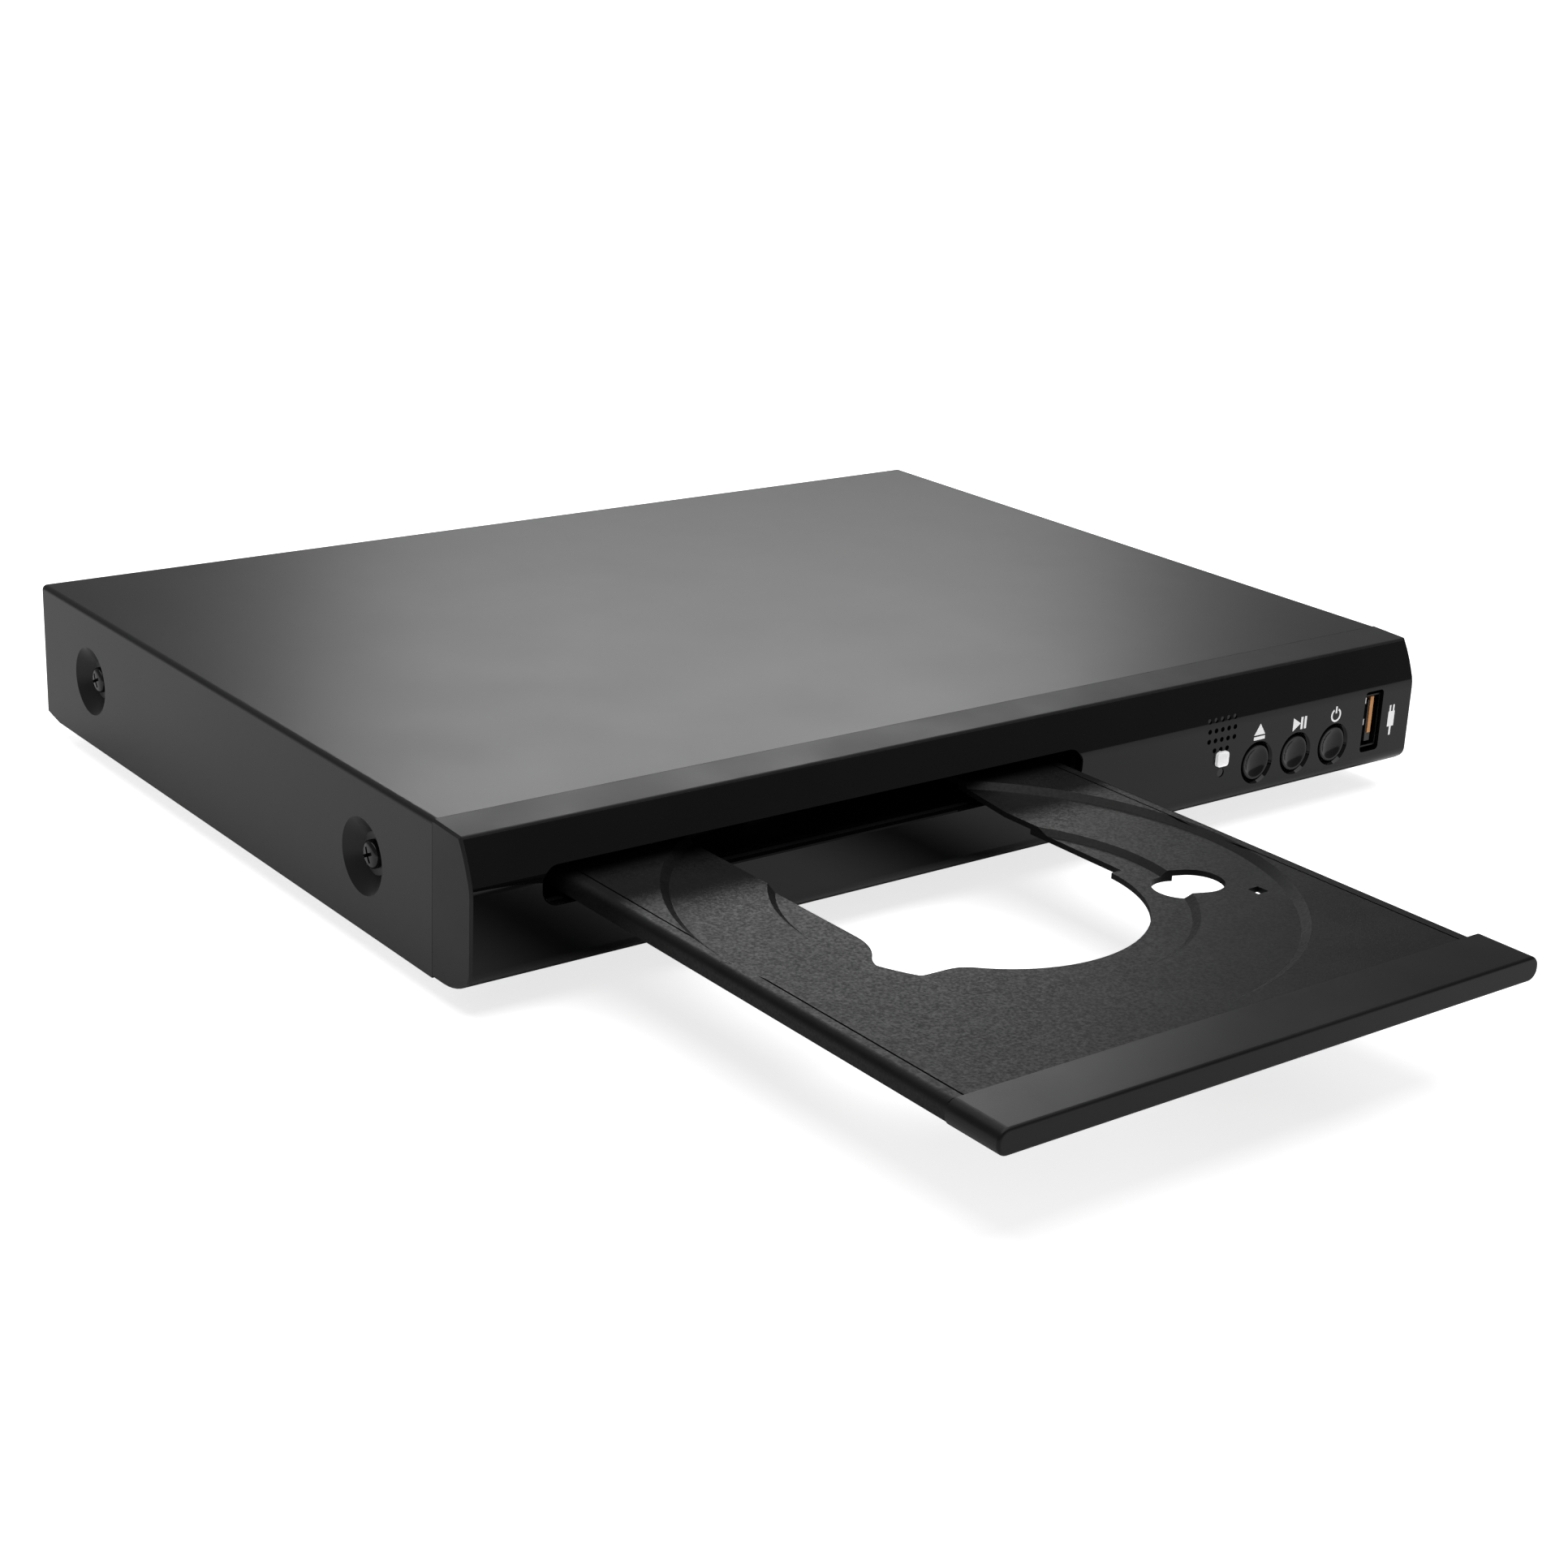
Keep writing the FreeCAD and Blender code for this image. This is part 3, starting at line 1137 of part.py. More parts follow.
def rack():
    """The tray's rack along its left skirt, teeth towards +X."""
    z0 = TRAY_FOOT_Z
    pitch = math.pi * RACK_MODULE
    start = DRIVE_Y - TRAY_TRAVEL - RACK_OVERRUN
    end = DRIVE_Y + RACK_OVERRUN
    half = pitch / 4 - BACKLASH / 2
    tip = half - math.tan(PRESSURE) * ADDENDUM * RACK_MODULE
    foot = half + math.tan(PRESSURE) * DEDENDUM * RACK_MODULE
    tip_x = RACK_X + ADDENDUM * RACK_MODULE
    foot_x = RACK_X - DEDENDUM * RACK_MODULE
    points = [V(TRAY_LEFT + TRAY_SKIRT / 2, start, z0), V(foot_x, start, z0)]
    count = int((end - start) / pitch) - 1
    for i in range(count):
        y = DRIVE_Y + pitch / 2 + pitch * (i - count + RACK_LEAD_TEETH)
        points += [V(foot_x, y - foot, z0), V(tip_x, y - tip, z0),
                   V(tip_x, y + tip, z0), V(foot_x, y + foot, z0)]
    points += [V(foot_x, end, z0), V(TRAY_LEFT + TRAY_SKIRT / 2, end, z0)]
    return prism(points, V(0, 0, TRAY_PLATE_Z - z0))


def disc_tray():
    slab = box(TRAY_LEFT, TRAY_RIGHT, TRAY_FRONT_Y, TRAY_REAR_Y, TRAY_FOOT_Z, TRAY_TOP_Z)
    rim = lambda p: p.z > TRAY_TOP_Z - SHEET
    slab = rounded(slab, Y_AXIS, TRAY_EDGE_RADIUS, rim)
    skirt = TRAY_SKIRT
    hollow = box(TRAY_LEFT + skirt, TRAY_RIGHT - skirt, TRAY_FRONT_Y + skirt, TRAY_REAR_Y - skirt,
                 TRAY_FOOT_Z - 1, TRAY_PLATE_Z)
    shell = slab.cut(hollow)
    bowls = [post(OUTER_TOP_RADIUS + BOWL_WALL, TRAY_X, DISC_Y, BOWL_FOOT_Z, TRAY_PLATE_Z),
             post(INNER_TOP_RADIUS + BOWL_WALL, TRAY_X, DISC_Y, INNER_BOWL_FOOT_Z, BOWL_FOOT_Z)]
    tongue = box(TRAY_LEFT + TONGUE_INSET, TRAY_RIGHT - TONGUE_INSET, TRAY_FRONT_Y - TONGUE_LENGTH,
                 TRAY_FRONT_Y + 1, TRAY_PLATE_Z - TONGUE_HEIGHT / 2, TRAY_PLATE_Z + TONGUE_HEIGHT / 2)
    whole = join(shell, rack(), tongue, *bowls)
    outer = Part.makeCone(OUTER_FLOOR_RADIUS, OUTER_TOP_RADIUS, OUTER_DEPTH,
                          V(TRAY_X, DISC_Y, OUTER_FLOOR_Z))
    inner = Part.makeCone(INNER_FLOOR_RADIUS, INNER_TOP_RADIUS, INNER_DEPTH,
                          V(TRAY_X, DISC_Y, INNER_FLOOR_Z))
    z0 = TRAY_FOOT_Z - 1
    z1 = TRAY_TOP_Z + 1
    cutters = [outer, inner, tray_opening()]
    cutters.append(stadium(TRAY_X + OBLONG_X, DISC_Y - OBLONG_BACK, OBLONG_LENGTH, OBLONG_WIDTH,
                           OBLONG_TURN, z0, z1))
    near = DISC_Y - POCKET_FRONT
    half = POCKET_SIZE / 2
    cutters.append(box(TRAY_X + POCKET_X - half, TRAY_X + POCKET_X + half, near - half, near + half, z0, z1))
    for x in (TRAY_LEFT + GROOVE_INSET, TRAY_RIGHT - GROOVE_INSET):
        half = GROOVE_WIDTH / 2
        cutters.append(box(x - half, x + half, TRAY_FRONT_Y - 1, TRAY_REAR_Y + 1,
                           TRAY_TOP_Z - GROOVE_WIDTH, z1))
    cutters.append(box(TRAY_LEFT - 1, TRAY_RIGHT + 1, TRAY_FRONT_Y - 1, TRAY_FRONT_Y + JOINT_GROOVE,
                       TRAY_TOP_Z - JOINT_GROOVE, z1))
    return whole.cut(cutters)


def tray_cap():
    """The bar across the tray's front, its ends round as seen from the front."""
    x0 = TRAY_LEFT - CAP_LEFT_OVERHANG
    x1 = TRAY_RIGHT + CAP_RIGHT_OVERHANG
    front = TRAY_FRONT_Y - CAP_DEPTH
    block = box(x0, x1, front, TRAY_FRONT_Y, CAP_FOOT_Z, CAP_TOP_Z)
    block = rounded(block, Y_AXIS, CAP_END_RADIUS)
    rim = [e for e in block.Edges if e.BoundBox.YMax < front + SHEET]
    block = block.makeFillet(CAP_EDGE, rim)
    gap = TONGUE_GAP
    pocket = box(TRAY_LEFT + TONGUE_INSET - gap, TRAY_RIGHT - TONGUE_INSET + gap,
                 TRAY_FRONT_Y - TONGUE_LENGTH - gap, TRAY_FRONT_Y + 1,
                 TRAY_PLATE_Z - TONGUE_HEIGHT / 2 - gap, TRAY_PLATE_Z + TONGUE_HEIGHT / 2 + gap)
    return trim(block, pocket)


def rail_side():
    """The left rail: wall, ledge under the skirt, hold-down tabs, flange and bosses."""
    x = RAIL_LEFT
    outer = x - RAIL_WALL
    edge = outer - FLANGE_WIDTH
    ledge_z = TRAY_FOOT_Z - LEDGE_GAP
    tab_z = TRAY_TOP_Z + TAB_GAP
    middle = outer - FLANGE_WIDTH / 2
    wall = box(outer, x, RAIL_FRONT_Y, RAIL_REAR_Y, LOADER_SEAT_Z, tab_z + TAB_THICKNESS)
    adds = [box(outer, x + RAIL_LEDGE, RAIL_FRONT_Y, RAIL_REAR_Y, ledge_z - RAIL_LEDGE_HEIGHT, ledge_z),
            box(edge, x, RAIL_FRONT_Y, RAIL_REAR_Y, DECK_FOOT_Z, DECK_TOP_Z)]
    for back in (TAB_FRONT, TAB_MIDDLE):
        y = JOINT_Y + back
        adds.append(box(outer, x + TAB_REACH, y, y + TAB_LENGTH, tab_z, tab_z + TAB_THICKNESS))
    for place_x, y in loader_screw_places():
        if place_x < TRAY_X:
            adds.append(post(STANDOFF_RADIUS, middle, y, LOADER_SEAT_Z, DECK_FOOT_Z))
    adds.append(box(edge, x, SPINDLE_Y - BRIDGE_POST, SPINDLE_Y + BRIDGE_POST, DECK_FOOT_Z, BRIDGE_Z))
    return join(wall, *adds)


def loader_frame():
    left = rail_side()
    right = left.mirror(V(TRAY_X, 0, 0), X_AXIS)
    x0 = RAIL_LEFT - RAIL_WALL
    x1 = RAIL_RIGHT + RAIL_WALL
    deck = box(x0, x1, RAIL_FRONT_Y, JOINT_Y + DECK_REAR, DECK_FOOT_Z, DECK_TOP_Z)
    rear = box(x0, x1, RAIL_REAR_Y - CROSS_WALL, RAIL_REAR_Y, LOADER_SEAT_Z, DECK_TOP_Z + TIE_HEIGHT)
    guide_z = CAM_FOOT_Z - PLASTIC_GAP
    wall_y = JOINT_Y + DECK_REAR - CROSS_WALL
    guide_x0 = CAM_X0 - CAM_GUIDE_WALL
    guide_x1 = CAM_X1 + CAM_SHIFT + CAM_GUIDE_WALL
    lip_y = CAM_Y + CAM + PLASTIC_GAP
    guide = [box(guide_x0, guide_x1, wall_y, JOINT_Y + DECK_REAR, guide_z - CAM_GUIDE_FLOOR, DECK_TOP_Z),
             box(guide_x0, guide_x1, wall_y, lip_y + CAM_GUIDE_WALL, guide_z - CAM_GUIDE_FLOOR, guide_z),
             box(guide_x0, guide_x1, lip_y, lip_y + CAM_GUIDE_WALL, guide_z - CAM_GUIDE_FLOOR,
                 guide_z + CAM_GUIDE_LIP)]
    brackets = []
    holes = []
    reach = LIFTER_HALF + PLASTIC_GAP
    for side in (-1, 1):
        near = TRAY_X + side * reach
        far = near + side * PIVOT_LENGTH
        brackets.append(box(min(near, far), max(near, far), PIVOT_Y - BRACKET_REACH,
                            RAIL_REAR_Y - CROSS_WALL, LOADER_SEAT_Z, PIVOT_Z + BRACKET_REACH))
        holes.append(rod_x(PIVOT_RADIUS + AXLE_GAP, PIVOT_Y, PIVOT_Z, min(near, far) - 1,
                           max(near, far) + 1))
    axles = [post(AXLE_RADIUS, x, DRIVE_Y, DECK_FOOT_Z, REDUCTION_TOP_Z) for x in (DRIVE_X, PULLEY_X)]
    gear_tip = REDUCTION_MODULE * (REDUCTION_TEETH / 2 + ADDENDUM) + 1.5 * GEAR_GAP
    holes.append(post(gear_tip, DRIVE_X, DRIVE_Y, REDUCTION_FOOT_Z - GEAR_GAP, DRIVE_TOP_Z + GEAR_GAP))
    holes.append(post(HUB_RADIUS, MOTOR_X, DRIVE_Y, DECK_FOOT_Z - 1, DECK_TOP_Z + 1))
    for x, y in loader_screw_places():
        holes.append(post(SCREW_RADIUS + HOLE_GAP, x, y, FLOOR_Z, DECK_TOP_Z + 1))
    for x, y in bridge_screw_places():
        holes.append(post(SCREW_RADIUS, x, y, BRIDGE_Z - LOADER_SCREW_LENGTH, BRIDGE_Z + 1))
    frame = join(left, right, deck, rear, *guide, *brackets)
    return join(frame.cut(holes), *axles)


def loader_screws():
    down = V(0, 0, -1)
    screws = [flat_screw(V(x, y, DECK_TOP_Z), down, LOADER_SCREW_LENGTH)
              for x, y in loader_screw_places()]
    screws += [flat_screw(V(x, y, BRIDGE_TOP_Z), down, LOADER_SCREW_LENGTH / 2)
               for x, y in bridge_screw_places()]
    return Part.makeCompound(screws)


def drive_gear():
    """Upper gear on the tray's rack, lower gear on the pulley's pinion, one piece."""
    upper = gear(DRIVE_TEETH, RACK_MODULE, DRIVE_X, DRIVE_Y, REDUCTION_TOP_Z, DRIVE_TOP_Z, 180)
    lower = gear(REDUCTION_TEETH, REDUCTION_MODULE, DRIVE_X, DRIVE_Y, REDUCTION_FOOT_Z, REDUCTION_TOP_Z,
                 180 / REDUCTION_TEETH)
    hub = post(HUB_RADIUS, DRIVE_X, DRIVE_Y, DECK_TOP_Z + AXLE_GAP, REDUCTION_FOOT_Z)
    bore = post(AXLE_RADIUS + AXLE_GAP, DRIVE_X, DRIVE_Y, DECK_TOP_Z - 1, REDUCTION_TOP_Z + AXLE_GAP)
    return trim(join(upper, lower, hub), bore)


def grooved(radius, x, z0, z1):
    """A pulley: two rims and a belt groove that clears the belt."""
    rim = radius + PULLEY_FLANGE
    groove = radius - BELT_WIDTH / 2 - BELT_GAP
    wheel = post(rim, x, DRIVE_Y, z0, z1)
    half = BELT_WIDTH / 2 + BELT_SIDE_GAP
    middle = BELT_Z + BELT_WIDTH / 2
    ring = trim(post(rim + 1, x, DRIVE_Y, middle - half, middle + half),
                post(groove, x, DRIVE_Y, middle - half - 1, middle + half + 1))
    return trim(wheel, ring)


def pulley_gear():
    wheel = grooved(PULLEY_RADIUS, PULLEY_X, PULLEY_Z, PULLEY_TOP_Z)
    pinion = gear(PINION_TEETH, REDUCTION_MODULE, PULLEY_X, DRIVE_Y, PULLEY_TOP_Z, REDUCTION_TOP_Z, 180)
    foot = post(HUB_RADIUS, PULLEY_X, DRIVE_Y, DECK_TOP_Z + AXLE_GAP, PULLEY_Z)
    bore = post(AXLE_RADIUS + AXLE_GAP, PULLEY_X, DRIVE_Y, DECK_TOP_Z - 1, REDUCTION_TOP_Z + 1)
    return trim(join(wheel, pinion, foot), bore)


def loading_motor():
    can = post(MOTOR_RADIUS, MOTOR_X, DRIVE_Y, DECK_FOOT_Z - MOTOR_HEIGHT, DECK_FOOT_Z)
    collar = post(HUB_RADIUS - HOLE_GAP, MOTOR_X, DRIVE_Y, DECK_FOOT_Z, DECK_TOP_Z - GEAR_GAP)
    bore = post(MOTOR_SHAFT_RADIUS + AXLE_GAP, MOTOR_X, DRIVE_Y, DECK_FOOT_Z - DECK, DECK_TOP_Z)
    return trim(join(can, collar), bore)


def motor_pulley():
    wheel = grooved(MOTOR_PULLEY_RADIUS, MOTOR_X, PULLEY_Z, PULLEY_TOP_Z)
    shaft = post(MOTOR_SHAFT_RADIUS, MOTOR_X, DRIVE_Y, DECK_FOOT_Z - DECK + AXLE_GAP, PULLEY_TOP_Z)
    return join(wheel, shaft)


def belt_outline(offset):
    """The belt's loop round both pulleys, its radius changed by offset."""
    lean = math.acos((PULLEY_RADIUS - MOTOR_PULLEY_RADIUS) / MOTOR_BACK_X)
    big = PULLEY_RADIUS + offset
    small = MOTOR_PULLEY_RADIUS + offset

    def rim(radius, x, angle):
        return V(x + radius * math.cos(angle), DRIVE_Y + radius * math.sin(angle), BELT_Z)
    big_start = rim(big, PULLEY_X, lean)
    big_end = rim(big, PULLEY_X, -lean)
    small_start = rim(small, MOTOR_X, -lean)
    small_end = rim(small, MOTOR_X, lean)
    edges = [Part.Arc(big_start, rim(big, PULLEY_X, math.pi), big_end).toShape(), line(big_end, small_start),
             Part.Arc(small_start, rim(small, MOTOR_X, 0), small_end).toShape(), line(small_end, big_start)]
    return Part.Face(Part.Wire(edges)).extrude(V(0, 0, BELT_WIDTH))


def drive_belt():
    return trim(belt_outline(BELT_WIDTH / 2), belt_outline(-BELT_WIDTH / 2))


def cam_slider():
    plate = box(CAM_X0, CAM_X1, CAM_Y, CAM_Y + CAM, CAM_FOOT_Z, CAM_TOP_Z)
    radius = CAM_SLOT_RADIUS
    slots = []
    for side in (-1, 1):
        low = V(TRAY_X + side * PIN_SPREAD, CAM_Y - 1, PIN_LOW_Z)
        high = V(low.x - CAM_SHIFT, CAM_Y - 1, PIN_Z)
        along = (high - low).normalize()
        across = along.cross(Y_AXIS) * radius
        deep = V(0, CAM + 2, 0)
        slots += [rod_y(radius, p.x, p.z, CAM_Y - 1, CAM_Y + CAM + 1) for p in (low, high)]
        slots.append(prism([low + across, high + across, high - across, low - across], deep))
    return plate.cut(slots)


def clamp_bridge():
    x0 = RAIL_LEFT - RAIL_WALL - FLANGE_WIDTH
    x1 = RAIL_RIGHT + RAIL_WALL + FLANGE_WIDTH
    plate = box(x0, x1, SPINDLE_Y - BRIDGE_POST, SPINDLE_Y + BRIDGE_POST, BRIDGE_Z, BRIDGE_TOP_Z)
    ring = post(BRIDGE_RING, TRAY_X, SPINDLE_Y, BRIDGE_Z, BRIDGE_TOP_Z)
    holes = [post(PUCK_HOLE_RADIUS, TRAY_X, SPINDLE_Y, BRIDGE_Z - 1, BRIDGE_TOP_Z + 1)]
    for x, y in bridge_screw_places():
        holes.append(post(SCREW_RADIUS + HOLE_GAP, x, y, BRIDGE_Z - 1, BRIDGE_TOP_Z + 1))
    return join(plate, ring).cut(holes)


def magnet_floor():
    return PUCK_Z + PUCK_RECESS + PUCK_BASE


def clamp_puck():
    seat = BRIDGE_TOP_Z + HOLE_GAP
    body = post(PUCK_RADIUS, TRAY_X, SPINDLE_Y, PUCK_Z, seat)
    flange = post(PUCK_FLANGE_RADIUS, TRAY_X, SPINDLE_Y, seat, seat + PUCK_FLANGE)
    recess = post(PUCK_RECESS_RADIUS, TRAY_X, SPINDLE_Y, PUCK_Z - 1, PUCK_Z + PUCK_RECESS)
    pocket = post(MAGNET_OUTER, TRAY_X, SPINDLE_Y, magnet_floor(), seat + 2 * PUCK_FLANGE)
    core = post(MAGNET_INNER, TRAY_X, SPINDLE_Y, magnet_floor(), seat + PUCK_FLANGE)
    return join(join(body, flange).cut([recess, pocket]), core)


def clamp_magnet():
    top = BRIDGE_TOP_Z + PUCK_FLANGE / 2
    return trim(post(MAGNET_OUTER, TRAY_X, SPINDLE_Y, magnet_floor(), top),
                post(MAGNET_INNER, TRAY_X, SPINDLE_Y, magnet_floor() - 1, top + 1))


def dropped(shape):
    """The lifter's group swings down about its rear pivots, away from the disc."""
    shape.rotate(V(TRAY_X, PIVOT_Y, PIVOT_Z), X_AXIS, math.degrees(DROP))
    return shape


def ear_places():
    ys = (JOINT_Y + EAR_FRONT, JOINT_Y + EAR_REAR)
    return [(TRAY_X + side * EAR_SPREAD, y) for side in (-1, 1) for y in ys]


def lifter_frame():
    y0 = JOINT_Y + LIFTER_FRONT
    y1 = PIVOT_Y + LIFTER_TAIL
    outer = box(TRAY_X - LIFTER_HALF, TRAY_X + LIFTER_HALF, y0, y1, LIFTER_Z, LIFTER_TOP_Z)
    inner = box(TRAY_X - LIFTER_INNER, TRAY_X + LIFTER_INNER, y0 + LIFTER_BAR, y1 - LIFTER_BAR,
                LIFTER_Z - 1, LIFTER_TOP_Z + 1)
    adds = []
    holes = []
    for x, y in ear_places():
        side = 1 if x > TRAY_X else -1
        wall = TRAY_X + side * (LIFTER_INNER + 1)
        adds.append(post(EAR_RADIUS, x, y, LIFTER_Z, LIFTER_TOP_Z))
        adds.append(box(min(x, wall), max(x, wall), y - EAR_RADIUS, y + EAR_RADIUS, LIFTER_Z, LIFTER_TOP_Z))
        holes.append(post(DAMPER_SCREW_RADIUS, x, y, LIFTER_Z - 1, LIFTER_TOP_Z + 1))
    for side in (-1, 1):
        x = TRAY_X + side * PIN_SPREAD
        wide = CAM_SLOT_RADIUS
        adds.append(box(x - wide, x + wide, y0, y0 + PIN_BLOCK, LIFTER_Z, PIN_Z + wide))
        adds.append(rod_y(PIN_RADIUS, x, PIN_Z, y0 - PIN_LENGTH, y0 + PIN_BLOCK))
        inside = TRAY_X + side * (LIFTER_HALF - 1)
        outside = TRAY_X + side * (LIFTER_HALF + PIVOT_LENGTH)
        adds.append(rod_x(PIVOT_RADIUS, PIVOT_Y, PIVOT_Z, min(inside, outside), max(inside, outside)))
    return dropped(join(trim(outer, inner), *adds).cut(holes))


def dampers():
    """Rubber grommets: a waist in the plate's hole between two flanges."""
    rings = []
    for x, y in ear_places():
        ring = join(post(DAMPER_RADIUS, x, y, LIFTER_TOP_Z, TRAVERSE_Z),
                    post(DAMPER_WAIST, x, y, TRAVERSE_Z, TRAVERSE_TOP_Z),
                    post(DAMPER_RADIUS, x, y, TRAVERSE_TOP_Z, TRAVERSE_TOP_Z + DAMPER_CAP))
        rings.append(trim(ring, post(DAMPER_SCREW_RADIUS, x, y, LIFTER_Z, TRAVERSE_TOP_Z + 2 * DAMPER_CAP)))
    return dropped(Part.makeCompound(rings))


def damper_screws():
    screws = []
    for x, y in ear_places():
        seat = TRAVERSE_TOP_Z + DAMPER_CAP
        screws.append(join(post(DAMPER_RADIUS - 1, x, y, seat, seat + DAMPER_SCREW_HEAD),
                           post(DAMPER_SCREW_RADIUS, x, y, LIFTER_Z, seat)))
    return dropped(Part.makeCompound(screws))


def traverse_plate():
    plate = box(TRAY_X - TRAVERSE_HALF, TRAY_X + TRAVERSE_HALF, JOINT_Y + TRAVERSE_FRONT,
                JOINT_Y + TRAVERSE_REAR, TRAVERSE_Z, TRAVERSE_TOP_Z)
    window = box(TRAY_X - WINDOW_HALF, TRAY_X + WINDOW_HALF, SLED_Y0 + SLED_STEP - WINDOW_GAP,
                 SLED_Y1 - SLED_STEP + SLED_TRAVEL + WINDOW_GAP, TRAVERSE_Z - 1, TRAVERSE_TOP_Z + 1)
    holes = [window, post(SPINDLE_HOLE_RADIUS, TRAY_X, SPINDLE_Y, TRAVERSE_Z - 1, TRAVERSE_TOP_Z + 1)]
    holes += [post(DAMPER_WAIST, x, y, TRAVERSE_Z - 1, TRAVERSE_TOP_Z + 1) for x, y in ear_places()]
    blocks = []
    for side in (-1, 1):
        x = TRAY_X + side * GUIDE_SPREAD
        for y in (GUIDE_Y0, GUIDE_Y1 - GUIDE_BLOCK):
            blocks.append(box(x - GUIDE_BLOCK_HALF, x + GUIDE_BLOCK_HALF, y, y + GUIDE_BLOCK,
                              GUIDE_Z - GUIDE_BLOCK_HALF, TRAVERSE_Z))
        holes.append(rod_y(GUIDE_RADIUS, x, GUIDE_Z, GUIDE_Y0 - 1, GUIDE_Y1 + 1))
    half = GUIDE_BLOCK_HALF
    blocks.append(box(LEAD_X - half, LEAD_X + half, GUIDE_Y1 - GUIDE_BLOCK, GUIDE_Y1,
                      LEAD_Z - half, TRAVERSE_Z))
    holes.append(rod_y(LEAD_CORE_RADIUS + AXLE_GAP, LEAD_X, LEAD_Z, GUIDE_Y1 - 2 * GUIDE_BLOCK,
                       GUIDE_Y1 + 1))
    return dropped(join(plate, *blocks).cut(holes))


def spindle_motor():
    can = post(SPINDLE_MOTOR_RADIUS, TRAY_X, SPINDLE_Y, TRAVERSE_Z - SPINDLE_MOTOR_HEIGHT, TRAVERSE_Z)
    collar = post(SPINDLE_HOLE_RADIUS, TRAY_X, SPINDLE_Y, TRAVERSE_Z, TRAVERSE_TOP_Z)
    bore = post(SPINDLE_SHAFT_RADIUS + SPINDLE_SHAFT_GAP, TRAY_X, SPINDLE_Y,
                TRAVERSE_Z - SPINDLE_MOTOR_HEIGHT + 1, TRAVERSE_TOP_Z + 1)
    return dropped(trim(join(can, collar), bore))


def turntable():
    x = TRAY_X
    y = SPINDLE_Y
    table = post(TURNTABLE_RADIUS, x, y, DISC_Z - TURNTABLE, DISC_Z)
    ring = trim(post(TURNTABLE_RADIUS, x, y, DISC_Z - PAD, DISC_Z + 1),
                post(PAD_INNER, x, y, DISC_Z - 1, DISC_Z + 1))
    boss = Part.makeCone(BOSS_RADIUS, BOSS_TIP_RADIUS, BOSS_HEIGHT, V(x, y, DISC_Z))
    hub = post(TURNTABLE_HUB, x, y, TRAVERSE_TOP_Z + PLASTIC_GAP, DISC_Z - TURNTABLE)
    shaft = post(SPINDLE_SHAFT_RADIUS, x, y, TRAVERSE_Z - SPINDLE_MOTOR_HEIGHT + 1 + AXLE_GAP, DISC_Z)
    return dropped(join(trim(table, ring), boss, hub, shaft))


def turntable_pad():
    pad = post(TURNTABLE_RADIUS, TRAY_X, SPINDLE_Y, DISC_Z - PAD, DISC_Z)
    return dropped(trim(pad, post(PAD_INNER, TRAY_X, SPINDLE_Y, DISC_Z - 1, DISC_Z + 1)))


def guide_rods():
    rods = [rod_y(GUIDE_RADIUS, TRAY_X + side * GUIDE_SPREAD, GUIDE_Z, GUIDE_Y0, GUIDE_Y1)
            for side in (-1, 1)]
    return dropped(Part.makeCompound(rods))


def pickup_sled():
    bush = GUIDE_RADIUS + GUIDE_GAP + BUSH_WALL
    x = TRAY_X
    half = GUIDE_SPREAD
    base = box(x - half, x + half, SLED_Y0, SLED_Y1, SLED_FOOT_Z, SLED_WAIST_Z)
    tower = box(x - SLED_TOP_HALF, x + SLED_TOP_HALF, SLED_Y0 + SLED_STEP, SLED_Y1 - SLED_STEP,
                SLED_WAIST_Z, SLED_TOP_Z)
    tower = rounded(tower, Z_AXIS, SLED_STEP)
    collar = post(LENS_RADIUS + LENS_RIM, x, LENS_Y, SLED_TOP_Z, DISC_Z - LENS_UNDER_DISC - LENS_RIM_UNDER)
    adds = [tower, collar]
    holes = [post(LENS_RADIUS, x, LENS_Y, SLED_TOP_Z - LENS_RIM, DISC_Z)]
    for side in (-1, 1):
        adds.append(rod_y(bush, x + side * half, GUIDE_Z, SLED_Y0, SLED_Y1))
        holes.append(rod_y(GUIDE_RADIUS + GUIDE_GAP, x + side * half, GUIDE_Z, SLED_Y0 - 1, SLED_Y1 + 1))
    nut_y = SLED_Y0 + NUT_BACK
    reach = LEAD_RADIUS + GUIDE_GAP + NUT_WALL
    adds.append(box(x + half, LEAD_X + reach, nut_y, nut_y + NUT_LENGTH, LEAD_Z - reach, LEAD_Z + reach))
    holes.append(rod_y(LEAD_RADIUS + GUIDE_GAP, LEAD_X, LEAD_Z, nut_y - 1, nut_y + NUT_LENGTH + 1))
    return dropped(join(base, *adds).cut(holes))


def objective_lens():
    top = DISC_Z - LENS_UNDER_DISC
    barrel = post(LENS_RADIUS, TRAY_X, LENS_Y, SLED_TOP_Z - LENS_RIM, top)
    edge = [e for e in barrel.Edges if e.CenterOfMass.z > top - HOLE_GAP and len(e.Vertexes) == 1]
    return dropped(barrel.makeFillet(LENS_RIM_UNDER, edge))


def sled_motor():
    end = LEAD_Y0
    can = rod_y(STEPPER_RADIUS, LEAD_X, LEAD_Z, end - STEPPER_LENGTH, end)
    bore = rod_y(LEAD_CORE_RADIUS + AXLE_GAP, LEAD_X, LEAD_Z, end - NUT_LENGTH, end + 1)
    return dropped(trim(can, bore))


def lead_screw():
    """The sled's lead screw, its journals in the motor and in the rear block."""
    gap = GEAR_GAP
    start = LEAD_Y0 - NUT_LENGTH + gap
    core = rod_y(LEAD_CORE_RADIUS, LEAD_X, LEAD_Z, start, GUIDE_Y1)
    thread = rod_y(LEAD_RADIUS, LEAD_X, LEAD_Z, LEAD_Y0 + gap, GUIDE_Y1 - GUIDE_BLOCK - gap)
    return dropped(join(core, thread))


